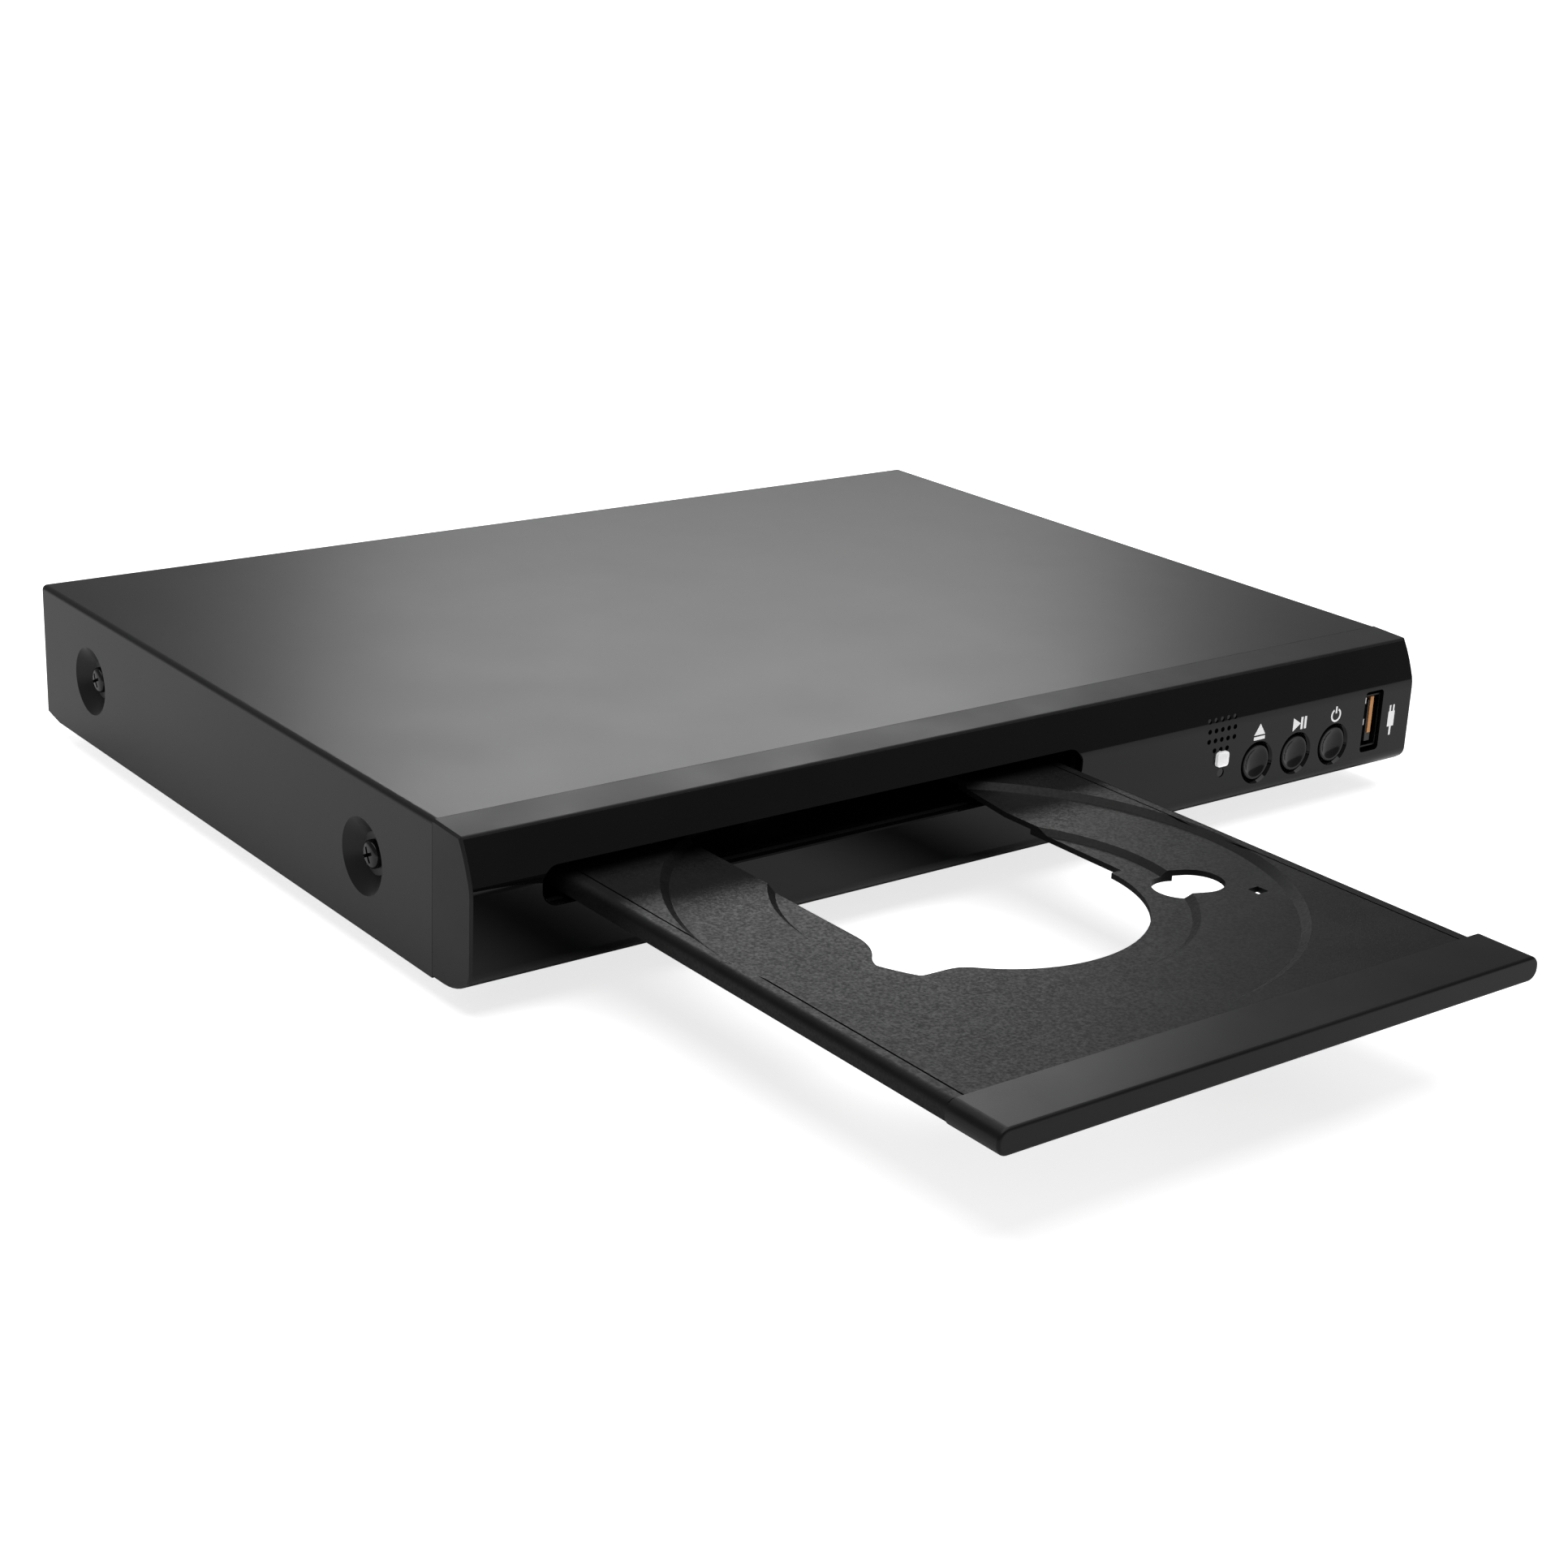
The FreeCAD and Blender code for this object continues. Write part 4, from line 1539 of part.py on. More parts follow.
def sheet_board(x0, x1, y0, y1, places):
    holes = [post(SCREW_RADIUS + HOLE_GAP, x, y, BOARD_Z - 1, BOARD_TOP_Z + 1) for x, y in places]
    return box(x0, x1, y0, y1, BOARD_Z, BOARD_TOP_Z).cut(holes)


def header(x, y, wide_x, wide_y):
    """A cable header that stands on a board."""
    return box(x - wide_x / 2, x + wide_x / 2, y - wide_y / 2, y + wide_y / 2,
               BOARD_TOP_Z, BOARD_TOP_Z + HEADER_HEIGHT)


def main_board():
    board = sheet_board(MAIN_X0, MAIN_X1, MAIN_Y0, BOARD_REAR_Y, main_screw_places())
    width = CABLE_WIDTH + 2 * HEADER_WALL
    half = HEADER_LENGTH / 2
    headers = [header(FRONT_CABLE_X + width / 2, MAIN_Y0 + half, width, HEADER_LENGTH),
               header(MAIN_X1 - half, POWER_CABLE_Y, HEADER_LENGTH, width),
               header(MAIN_X0 + half, PICKUP_CABLE_Y, HEADER_LENGTH, width),
               header(LOADER_PLUG_X, MAIN_Y0 + half, HEADER_LENGTH, HEADER_LENGTH)]
    return Part.makeCompound([board] + headers)


def main_chips():
    """The decoder, its memory and the audio chip."""
    middle = (MAIN_X0 + MAIN_X1) / 2
    top = BOARD_TOP_Z + CHIP_HEIGHT
    half = DECODER_SIZE / 2
    y = MAIN_Y0 + MAIN_BOARD_LENGTH / 2
    decoder = box(middle - half, middle + half, y - half, y + half, BOARD_TOP_Z, top)
    memory_y = y - DECODER_SIZE
    memory = box(middle - half / 2, middle + half / 2, memory_y - half / 2, memory_y + half / 2,
                 BOARD_TOP_Z, top)
    audio = box(middle - half / 2, middle + half / 2, y + DECODER_SIZE - half / 2,
                y + DECODER_SIZE + half / 4, BOARD_TOP_Z, top)
    return Part.makeCompound([decoder, memory, audio])


def main_capacitors():
    y = MAIN_Y0 + MAIN_BOARD_LENGTH * SMALL_CAN_SHARE
    top = BOARD_TOP_Z + SMALL_CAN_HEIGHT
    xs = [MAIN_X0 + SMALL_CAN_INSET, MAIN_X0 + SMALL_CAN_INSET + SMALL_CAN_PITCH,
          MAIN_X1 - SMALL_CAN_INSET - SMALL_CAN_PITCH, MAIN_X1 - SMALL_CAN_INSET]
    return Part.makeCompound([post(SMALL_CAN_RADIUS, x, y, BOARD_TOP_Z, top) for x in xs])


def hdmi_socket():
    x = MAIN_X0 + HDMI_INSET
    half = HDMI_WIDTH / 2
    start = PANEL_Y - HDMI_LENGTH
    shell = box(x - half, x + half, start, PANEL_Y, BOARD_TOP_Z, BOARD_TOP_Z + HDMI_HEIGHT)
    wall = HDMI_WALL
    hollow = box(x - half + wall, x + half - wall, start + HDMI_BACK, PANEL_Y + 1, BOARD_TOP_Z + wall,
                 BOARD_TOP_Z + HDMI_HEIGHT - wall)
    middle = BOARD_TOP_Z + HDMI_HEIGHT / 2
    tongue = box(x - half + 3 * wall, x + half - 3 * wall, start + wall, PANEL_Y - HDMI_TONGUE_SETBACK,
                 middle - wall, middle + wall)
    return join(trim(shell, hollow), tongue)


def av_jacks():
    xs = jack_places()
    start = PANEL_Y - CHASSIS_SHEET - JACK_BLOCK_LENGTH
    end = PANEL_Y - CHASSIS_SHEET
    block = box(xs[0] - JACK_PITCH / 2, xs[-1] + JACK_PITCH / 2, start, end, BOARD_TOP_Z,
                BOARD_TOP_Z + JACK_BLOCK_HEIGHT)
    barrels = [rod_y(JACK_RADIUS, x, jack_height(), end - 1, PANEL_Y + JACK_REACH) for x in xs]
    bores = [rod_y(JACK_BORE_RADIUS, x, jack_height(), end, PANEL_Y + JACK_REACH + 1) for x in xs]
    return join(block, *barrels).cut(bores)


def power_board():
    board = sheet_board(POWER_X0, POWER_X1, POWER_Y0, BOARD_REAR_Y, power_screw_places())
    plug = header(POWER_X0 + HEADER_LENGTH / 2, POWER_CABLE_Y, HEADER_LENGTH, CABLE_WIDTH + 2 * HEADER_WALL)
    return Part.makeCompound([board, plug])


def transformer():
    x = (POWER_X0 + POWER_X1) / 2
    y = POWER_Y0 + POWER_BOARD_LENGTH * TRANSFORMER_SHARE
    core = box(x - CORE_WIDTH / 2, x + CORE_WIDTH / 2, y - CORE_LENGTH / 2, y + CORE_LENGTH / 2,
               BOARD_TOP_Z + CORE_UP, BOARD_TOP_Z + CORE_UP + CORE_HEIGHT)
    bobbin = box(x - BOBBIN_WIDTH / 2, x + BOBBIN_WIDTH / 2, y - BOBBIN_LENGTH / 2, y + BOBBIN_LENGTH / 2,
                 BOARD_TOP_Z, BOARD_TOP_Z + BOBBIN_HEIGHT)
    return join(core, bobbin)


def power_capacitors():
    y = POWER_Y0 + POWER_BOARD_LENGTH * MAINS_CAN_SHARE
    cans = [post(MAINS_CAN_RADIUS, POWER_X1 - MAINS_CAN_INSET, y, BOARD_TOP_Z,
                 BOARD_TOP_Z + MAINS_CAN_HEIGHT)]
    for i in range(POWER_CAN_COUNT):
        x = POWER_X0 + SMALL_CAN_INSET + SMALL_CAN_PITCH * i
        cans.append(post(SMALL_CAN_RADIUS, x, POWER_Y0 + POWER_CAN_FRONT, BOARD_TOP_Z,
                         BOARD_TOP_Z + SMALL_CAN_HEIGHT))
    return Part.makeCompound(cans)


def heat_sink():
    x = POWER_X0 + SINK_INSET
    y = POWER_Y0 + POWER_BOARD_LENGTH * SINK_SHARE
    top = BOARD_TOP_Z + SINK_HEIGHT
    plate = box(x, x + SINK_PLATE, y, y + SINK_LENGTH, BOARD_TOP_Z, top)
    fins = []
    for i in range(SINK_FIN_COUNT):
        fin_y = y + SINK_FIN_PITCH * i
        fins.append(box(x + SINK_PLATE / 2, x + SINK_DEPTH, fin_y, fin_y + SINK_FIN, BOARD_TOP_Z, top))
    return join(plate, *fins)


def power_inlet():
    x = inlet_place()
    half = INLET_WIDTH / 2
    z1 = BOARD_TOP_Z + INLET_HEIGHT
    body = box(x - half, x + half, PANEL_Y - INLET_LENGTH, PANEL_Y, BOARD_TOP_Z, z1)
    middle = (BOARD_TOP_Z + z1) / 2
    start = PANEL_Y - INLET_RECESS_DEPTH
    wide = INLET_RECESS_WIDTH / 2
    high = INLET_RECESS_HEIGHT / 2
    recess = box(x - wide, x + wide, start, PANEL_Y + 1, middle - high, middle + high)
    recess = rounded(recess, Y_AXIS, high - HOLE_GAP)
    pins = [rod_y(INLET_PIN_RADIUS, x + side * INLET_PIN_SPREAD, middle, start - 1,
                 PANEL_Y - INLET_PIN_SETBACK)
            for side in (-1, 1)]
    return join(trim(body, recess), *pins)


def insulation_sheet():
    gap = POWER_BOARD_INSET - DIMPLE_DEPTH - SHEET - CHASSIS_SHEET - SHEET_GAP
    sheet = box(POWER_X0 - gap, POWER_X1 + gap, POWER_Y0, BOARD_REAR_Y, FLOOR_Z, FLOOR_Z + INSULATION)
    holes = [post(SCREW_HEAD_RADIUS + HOLE_GAP, x, y, SILL_Z, BOARD_Z) for x, y in power_screw_places()]
    holes += [post(FOOT_RADIUS / 4 + HOLE_GAP, x, y, SILL_Z, BOARD_Z) for x, y in foot_places()]
    return sheet.cut(holes)


def board_screws():
    down = V(0, 0, -1)
    places = main_screw_places() + power_screw_places()
    screws = [flat_screw(V(x, y, BOARD_TOP_Z), down, BOARD_SCREW_LENGTH) for x, y in places]
    for x, z in front_screw_places():
        screws.append(flat_screw(V(x, FRONT_BOARD_Y + BOARD, z), V(0, -1, 0), BOARD_SCREW_LENGTH))
    return Part.makeCompound(screws)


def loader_board():
    z1 = DECK_FOOT_Z
    x0 = RAIL_RIGHT - LOADER_BOARD_WIDTH - LOADER_BOARD_INSET
    y0 = DRIVE_Y - LOADER_BOARD_LENGTH / 2
    board = box(x0, x0 + LOADER_BOARD_WIDTH, y0, y0 + LOADER_BOARD_LENGTH, z1 - BOARD, z1)
    plug = box(x0 + LOADER_BOARD_WIDTH - HEADER_LENGTH, x0 + LOADER_BOARD_WIDTH, DRIVE_Y - HEADER_LENGTH / 2,
               DRIVE_Y + HEADER_LENGTH / 2, z1 - BOARD - LOADER_PLUG_HEIGHT, z1 - BOARD)
    return Part.makeCompound([board, plug])


def loader_cable():
    """Round cable from the loader's board, under the right rail, to the main board."""
    low = FLOOR_Z + CABLE_RADIUS + HOLE_GAP
    start_x = RAIL_RIGHT - LOADER_BOARD_INSET
    plug_z = DECK_FOOT_Z - BOARD - LOADER_PLUG_HEIGHT / 2
    top = BOARD_TOP_Z + HEADER_HEIGHT / 2
    points = [V(start_x, DRIVE_Y, plug_z), V(start_x + 4, DRIVE_Y, plug_z), V(start_x + 9, DRIVE_Y, low),
              V(start_x + 18, DRIVE_Y + 1, low), V(start_x + 32, DRIVE_Y + 9, low),
              V(LOADER_PLUG_X, MAIN_Y0 - 26, low + 1), V(LOADER_PLUG_X, MAIN_Y0 - 10, top),
              V(LOADER_PLUG_X, MAIN_Y0, top)]
    return cable(points, CABLE_RADIUS)


def front_cable():
    x = FRONT_CABLE_X + HEADER_WALL
    y0 = FRONT_BOARD_Y + BOARD + HEADER_LENGTH
    z = FRONT_CABLE_Z
    top = BOARD_TOP_Z + HEADER_HEIGHT / 2
    points = [V(x, y0, z), V(x, y0 + 12, z), V(x, y0 + 24, z - 4), V(x, MAIN_Y0 - 22, z - 4),
              V(x, MAIN_Y0 - 10, top), V(x, MAIN_Y0, top)]
    return band(points, CABLE_BEND, RIBBON, V(CABLE_WIDTH, 0, 0))


def power_cable():
    y = POWER_CABLE_Y - CABLE_WIDTH / 2
    low = BOARD_TOP_Z + HEADER_HEIGHT
    high = low + 2 * CABLE_BEND
    x0 = MAIN_X1 - HEADER_LENGTH / 2
    x1 = POWER_X0 + HEADER_LENGTH / 2
    points = [V(x0, y, low), V(x0, y, high), V(x1, y, high), V(x1, y, low)]
    return band(points, CABLE_BEND, RIBBON, V(0, CABLE_WIDTH, 0))


def pickup_cable():
    """Flat cable from under the sled, along the floor, to the main board."""
    y = PICKUP_CABLE_Y - CABLE_WIDTH / 2
    low = FLOOR_Z + RIBBON
    top = BOARD_TOP_Z + 2 * RIBBON
    under = PICKUP_END_Z
    rise = RAIL_RIGHT + RAIL_WALL + 4 * RIBBON
    points = [V(TRAY_X - 14, y, under), V(TRAY_X + 2, y, under), V(TRAY_X + 12, y, low),
              V(rise, y, low), V(rise + 6, y, top), V(MAIN_X0, y, top)]
    return band(points, RIBBON * 5, RIBBON, V(0, CABLE_WIDTH, 0))


def parts():
    """Every piece under its own name."""
    pieces = {
        "top_cover": top_cover(), "chassis_base": chassis_base(), "feet": feet(),
        "cover_screws": cover_screws(), "front_bezel": front_bezel(), "front_lens": front_lens(),
        "tact_switches": tact_switches(),
        "front_board": front_board(), "ir_receiver": ir_receiver(), "power_led": power_led(),
        "usb_shell": usb_shell(), "usb_tongue": usb_tongue(), "front_cable": front_cable(),
        "disc_tray": disc_tray(), "tray_cap": tray_cap(), "loader_frame": loader_frame(),
        "loader_screws": loader_screws(), "loader_board": loader_board(), "loader_cable": loader_cable(),
        "loading_motor": loading_motor(), "motor_pulley": motor_pulley(), "drive_belt": drive_belt(),
        "pulley_gear": pulley_gear(), "drive_gear": drive_gear(), "cam_slider": cam_slider(),
        "clamp_bridge": clamp_bridge(), "clamp_puck": clamp_puck(), "clamp_magnet": clamp_magnet(),
        "lifter_frame": lifter_frame(), "dampers": dampers(), "damper_screws": damper_screws(),
        "traverse_plate": traverse_plate(), "spindle_motor": spindle_motor(), "turntable": turntable(),
        "turntable_pad": turntable_pad(), "guide_rods": guide_rods(), "pickup_sled": pickup_sled(),
        "objective_lens": objective_lens(), "sled_motor": sled_motor(), "lead_screw": lead_screw(),
        "pickup_cable": pickup_cable(), "main_board": main_board(), "main_chips": main_chips(),
        "main_capacitors": main_capacitors(), "hdmi_socket": hdmi_socket(), "av_jacks": av_jacks(),
        "power_board": power_board(), "transformer": transformer(), "power_capacitors": power_capacitors(),
        "heat_sink": heat_sink(), "power_inlet": power_inlet(), "power_cable": power_cable(),
        "insulation_sheet": insulation_sheet(), "board_screws": board_screws(),
    }
    for name, x in button_places():
        pieces["button_" + name] = button(x)
        pieces["plunger_" + name] = plunger(x)
    return pieces


def main():
    os.makedirs("parts", exist_ok=True)
    for name, shape in parts().items():
        shape.exportStep("parts/" + name + ".step")


main()
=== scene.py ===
import bpy
import json
import math
from mathutils import Matrix, Vector


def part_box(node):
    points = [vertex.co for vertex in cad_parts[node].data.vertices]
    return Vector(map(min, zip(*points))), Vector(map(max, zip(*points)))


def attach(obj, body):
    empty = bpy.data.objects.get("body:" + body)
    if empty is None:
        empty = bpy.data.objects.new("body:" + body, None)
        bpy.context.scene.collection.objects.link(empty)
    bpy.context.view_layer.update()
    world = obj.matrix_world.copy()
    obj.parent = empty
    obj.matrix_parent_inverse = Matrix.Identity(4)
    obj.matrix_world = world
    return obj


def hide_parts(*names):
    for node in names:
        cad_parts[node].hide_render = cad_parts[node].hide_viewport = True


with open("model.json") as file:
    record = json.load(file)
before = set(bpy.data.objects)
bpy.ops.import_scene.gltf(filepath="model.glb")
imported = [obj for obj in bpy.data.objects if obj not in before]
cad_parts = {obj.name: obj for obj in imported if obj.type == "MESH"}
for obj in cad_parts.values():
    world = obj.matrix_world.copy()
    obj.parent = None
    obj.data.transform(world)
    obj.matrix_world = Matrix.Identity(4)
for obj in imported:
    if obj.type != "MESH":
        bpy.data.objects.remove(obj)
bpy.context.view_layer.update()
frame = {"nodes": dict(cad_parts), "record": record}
cad_nodes = frame["nodes"]

# Planes of the player that the added pieces follow, in metres
joint_gap = 0.0001
front_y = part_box("front_lens")[0][1]
joint_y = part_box("top_cover")[0][1] - joint_gap
sill_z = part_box("top_cover")[0][2]
half_width = 0.1325
upright = (math.pi / 2, 0, 0)

# Node material helpers


def new_material(name):
    material = bpy.data.materials.new(name)
    material.use_nodes = True
    tree = material.node_tree
    shader = tree.nodes["Principled BSDF"]
    place = tree.nodes.new("ShaderNodeTexCoord")
    return material, tree, shader, place


def add_noise(tree, place, size, detail=2.0, stretch=(1, 1, 1)):
    """Noise whose features are about as large as the size, in metres."""
    mapping = tree.nodes.new("ShaderNodeMapping")
    mapping.inputs["Scale"].default_value = [s / size for s in stretch]
    tree.links.new(place.outputs["Object"], mapping.inputs["Vector"])
    noise = tree.nodes.new("ShaderNodeTexNoise")
    noise.inputs["Scale"].default_value = 1.0
    noise.inputs["Detail"].default_value = detail
    tree.links.new(mapping.outputs["Vector"], noise.inputs["Vector"])
    return noise.outputs["Fac"]


def spread_colour(tree, factor, low, high, socket, start=0.35, end=0.65):
    ramp = tree.nodes.new("ShaderNodeValToRGB")
    ramp.color_ramp.elements[0].position = start
    ramp.color_ramp.elements[0].color = (*low, 1)
    ramp.color_ramp.elements[1].position = end
    ramp.color_ramp.elements[1].color = (*high, 1)
    tree.links.new(factor, ramp.inputs["Fac"])
    tree.links.new(ramp.outputs["Color"], socket)


def spread_value(tree, factor, low, high, socket, start=0.3, end=0.7):
    spread = tree.nodes.new("ShaderNodeMapRange")
    spread.inputs["From Min"].default_value = start
    spread.inputs["From Max"].default_value = end
    spread.inputs["To Min"].default_value = low
    spread.inputs["To Max"].default_value = high
    tree.links.new(factor, spread.inputs["Value"])
    tree.links.new(spread.outputs["Result"], socket)


def add_bump(tree, shader, factor, depth):
    bump = tree.nodes.new("ShaderNodeBump")
    bump.inputs["Strength"].default_value = 1.0
    bump.inputs["Distance"].default_value = depth
    tree.links.new(factor, bump.inputs["Height"])
    tree.links.new(bump.outputs["Normal"], shader.inputs["Normal"])


def finish(name, low, high, rough, metal=0.0, level=0.5, blotch=0.02, grain=0.0004, depth=0.00001,
           stretch=(1, 1, 1)):
    """A finish: two close colours in soft blotches, and a fine grain in the bump."""
    material, tree, shader, place = new_material(name)
    cloud = add_noise(tree, place, blotch, 3.0)
    fine = add_noise(tree, place, grain, 2.0, stretch)
    spread_colour(tree, cloud, low, high, shader.inputs["Base Color"])
    spread_value(tree, cloud, rough[0], rough[1], shader.inputs["Roughness"])
    shader.inputs["Metallic"].default_value = metal
    shader.inputs["Specular IOR Level"].default_value = level
    add_bump(tree, shader, fine, depth)
    return material


def grey(value):
    return (value, value, value)


# The finishes of the outside: case, front, tray and fittings
cover_paint = finish("cover paint", grey(0.011), grey(0.014), (0.33, 0.36), level=0.26,
                     blotch=0.03, grain=0.00035, depth=0.000006)
bezel_plastic = finish("bezel plastic", grey(0.008), grey(0.011), (0.42, 0.50), level=0.3,
                       grain=0.0003, depth=0.000006)
lens_gloss = finish("lens gloss", grey(0.0020), grey(0.0028), (0.04, 0.06), level=0.3,
                    grain=0.004, depth=0.0000010)
cap_plastic = finish("tray cap plastic", grey(0.005), grey(0.007), (0.30, 0.36), level=0.2,
                     grain=0.0003, depth=0.000005)
button_plastic = finish("button plastic", grey(0.004), grey(0.006), (0.12, 0.18), level=0.35,
                        grain=0.0005, depth=0.000002)
black_screw = finish("blackened screw steel", grey(0.010), grey(0.03), (0.14, 0.24), metal=0.6,
                     level=0.8, blotch=0.002, grain=0.0006, depth=0.00001)
zinc_sheet = finish("zinc plated sheet", grey(0.45), grey(0.56), (0.24, 0.38), metal=1.0,
                    blotch=0.006, grain=0.0008, depth=0.000008)
tin_plate = finish("tin plate", grey(0.60), grey(0.70), (0.18, 0.28), metal=1.0, blotch=0.004)
# Port shell: a near-black nickel, painted shade for the shade inside the port; the real shell metal is
# bright
shade_dark_nickel = finish("nickel shell darkened as painted shade", grey(0.03), grey(0.05), (0.34, 0.44), metal=1.0,
                     blotch=0.003)
foot_rubber = finish("foot rubber", grey(0.014), grey(0.02), (0.75, 0.9), level=0.3, depth=0.00003)
tongue_plastic = finish("port tongue plastic", grey(0.012), grey(0.018), (0.3, 0.4))
contact_gold = finish("contact gold", (0.60, 0.28, 0.10), (0.70, 0.34, 0.13), (0.3, 0.4), metal=0.7,
                      blotch=0.002)
glowing_print_white = finish("printed white with painted glow", grey(0.90), grey(0.95), (0.45, 0.55), level=0.3,
                     blotch=0.002, grain=0.0002, depth=0.000002)
# The print glows a little by emission: painted light that keeps the marks brighter than the lamps alone make
# them
print_glow_shader = glowing_print_white.node_tree.nodes["Principled BSDF"]
print_glow_shader.inputs["Emission Color"].default_value = (1, 1, 1, 1)
print_glow_shader.inputs["Emission Strength"].default_value = 0.25

# The finishes of the inside: loader, boards, cables and screws
steel_screw = finish("steel screw", grey(0.48), grey(0.60), (0.20, 0.32), metal=1.0, blotch=0.002)
ground_steel = finish("ground steel rod", grey(0.62), grey(0.72), (0.08, 0.16), metal=1.0,
                      stretch=(1, 0.1, 1), blotch=0.01)
magnet_steel = finish("magnet steel", grey(0.32), grey(0.40), (0.25, 0.35), metal=1.0, blotch=0.003)
cast_metal = finish("cast metal", grey(0.40), grey(0.52), (0.38, 0.5), metal=1.0, blotch=0.003,
                    depth=0.00002)
sink_aluminium = finish("drawn aluminium", grey(0.55), grey(0.65), (0.28, 0.36), metal=1.0,
                        stretch=(1, 1, 0.05))
belt_rubber = finish("belt rubber", grey(0.012), grey(0.018), (0.6, 0.75), level=0.3, depth=0.00001)
loader_plastic = finish("loader plastic", grey(0.010), grey(0.014), (0.4, 0.5), level=0.4,
                        depth=0.00001)
white_plastic = finish("white gear plastic", (0.72, 0.72, 0.68), (0.78, 0.78, 0.74), (0.35, 0.42))
part_black = finish("moulded part black", grey(0.012), grey(0.018), (0.35, 0.45), depth=0.000006)
led_plastic = finish("smoked lamp plastic", grey(0.010), grey(0.016), (0.1, 0.16))
ribbon_white = finish("ribbon white", (0.68, 0.68, 0.65), (0.74, 0.74, 0.71), (0.4, 0.5),
                      stretch=(0.02, 1, 1), grain=0.0012, depth=0.00008)
cable_black = finish("cable sleeve", grey(0.014), grey(0.02), (0.42, 0.5))
board_green = finish("board green", (0.012, 0.10, 0.035), (0.018, 0.14, 0.05), (0.3, 0.4), blotch=0.006)
board_tan = finish("board tan", (0.36, 0.22, 0.09), (0.42, 0.27, 0.12), (0.45, 0.55), blotch=0.006)
capacitor_sleeve = finish("capacitor sleeve", (0.012, 0.013, 0.02), (0.02, 0.022, 0.035), (0.2, 0.28))
transformer_tape = finish("transformer tape", (0.58, 0.40, 0.05), (0.66, 0.47, 0.07), (0.3, 0.4))
sheet_film = finish("insulating film", (0.55, 0.58, 0.55), (0.62, 0.65, 0.62), (0.3, 0.4))
lens_glass = finish("pickup lens glass", (0.10, 0.12, 0.24), (0.14, 0.16, 0.30), (0.02, 0.05))


def tray_finish():
    """The tray's spark texture: soft blotches, a fine grain, and flecks that are more and less dull."""
    material, tree, shader, place = new_material("tray spark texture")
    cloud = add_noise(tree, place, 0.012, 3.0)
    grain = add_noise(tree, place, 0.00042, 3.0)
    fleck = add_noise(tree, place, 0.0006, 1.0)
    spread_colour(tree, cloud, grey(0.005), grey(0.008), shader.inputs["Base Color"])
    spread_value(tree, fleck, 0.34, 0.52, shader.inputs["Roughness"])
    shader.inputs["Specular IOR Level"].default_value = 0.13
    add_bump(tree, shader, grain, 0.000022)
    return material


slot_finish = {
    "cover_paint": cover_paint, "chassis_steel": zinc_sheet, "foot_rubber": foot_rubber,
    "screw_black": black_screw, "bezel_plastic": bezel_plastic, "lens_plastic": lens_gloss,
    "board_green": board_green, "board_tan": board_tan, "part_black": part_black,
    "led_plastic": led_plastic, "steel_plate": tin_plate, "usb_plastic": tongue_plastic,
    "ribbon_white": ribbon_white, "tray_plastic": tray_finish(), "cap_plastic": cap_plastic,
    "loader_plastic": loader_plastic, "screw_steel": steel_screw, "cable_black": cable_black,
    "white_plastic": white_plastic, "belt_rubber": belt_rubber, "magnet_steel": magnet_steel,
    "polished_steel": ground_steel, "cast_metal": cast_metal, "lens_glass": lens_glass,
    "capacitor_sleeve": capacitor_sleeve, "transformer_tape": transformer_tape,
    "sink_aluminium": sink_aluminium, "sheet_film": sheet_film, "button_plastic": button_plastic,
}
# The port shell takes the darkened nickel, painted shade for the inside of the port
own_finish = {"usb_shell": shade_dark_nickel}
for part in frame["record"]["subparts"]:
    node = cad_nodes[part["node"]]
    node.data.materials.clear()
    node.data.materials.append(own_finish.get(part["node"], slot_finish[part["material_slot"]]))

# Modelling helpers


def start_edit():
    bpy.ops.object.mode_set(mode="EDIT")
    bpy.ops.mesh.select_all(action="SELECT")


def end_edit():
    bpy.ops.mesh.select_all(action="SELECT")
    bpy.ops.mesh.normals_make_consistent(inside=False)
    bpy.ops.object.mode_set(mode="OBJECT")


def settle(piece, name, finish_of, body):
    """Name a piece, give it its finish and put its origin at the frame's."""
    piece.name = name
    piece.data.name = name
    bpy.ops.object.transform_apply(location=True, rotation=True, scale=True)
    piece.data.materials.clear()
    piece.data.materials.append(finish_of)
    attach(piece, body)


def ringed(steps, place, turn, sides):
    """A round piece made ring by ring: each step is a radius and a height above the place."""
    bpy.ops.object.select_all(action="DESELECT")
    bpy.ops.mesh.primitive_circle_add(vertices=sides, radius=steps[0][0], fill_type="NGON",
                                      location=place, rotation=turn)
    piece = bpy.context.object
    start_edit()
    for (radius, height), (next_radius, next_height) in zip(steps, steps[1:]):
        bpy.ops.mesh.extrude_region_move(TRANSFORM_OT_translate={
            "value": (0, 0, next_height - height), "orient_type": "NORMAL"})
        share = next_radius / radius
        bpy.ops.transform.resize(value=(share, share, share))
    end_edit()
    bpy.ops.object.shade_smooth_by_angle(angle=math.radians(32))
    return piece


def join_up(pieces):
    bpy.ops.object.select_all(action="DESELECT")
    for piece in pieces:
        piece.select_set(True)
    bpy.context.view_layer.objects.active = pieces[0]
    bpy.ops.object.join()
    return bpy.context.object


def bevelled_block(name, low, high, bevel_width, finish_of):
    """A small block of the player's body between two corners, with its edges rounded."""
    centre = [(a + b) / 2 for a, b in zip(low, high)]
    size = [b - a for a, b in zip(low, high)]
    bpy.ops.object.select_all(action="DESELECT")
    bpy.ops.mesh.primitive_cube_add(size=1, location=centre)
    block = bpy.context.object
    start_edit()
    bpy.ops.transform.resize(value=size)
    bpy.ops.mesh.bevel(offset=bevel_width, segments=3, affect="EDGES")
    end_edit()
    bpy.ops.object.shade_smooth_by_angle(angle=math.radians(35))
    settle(block, name, finish_of, "player_body")


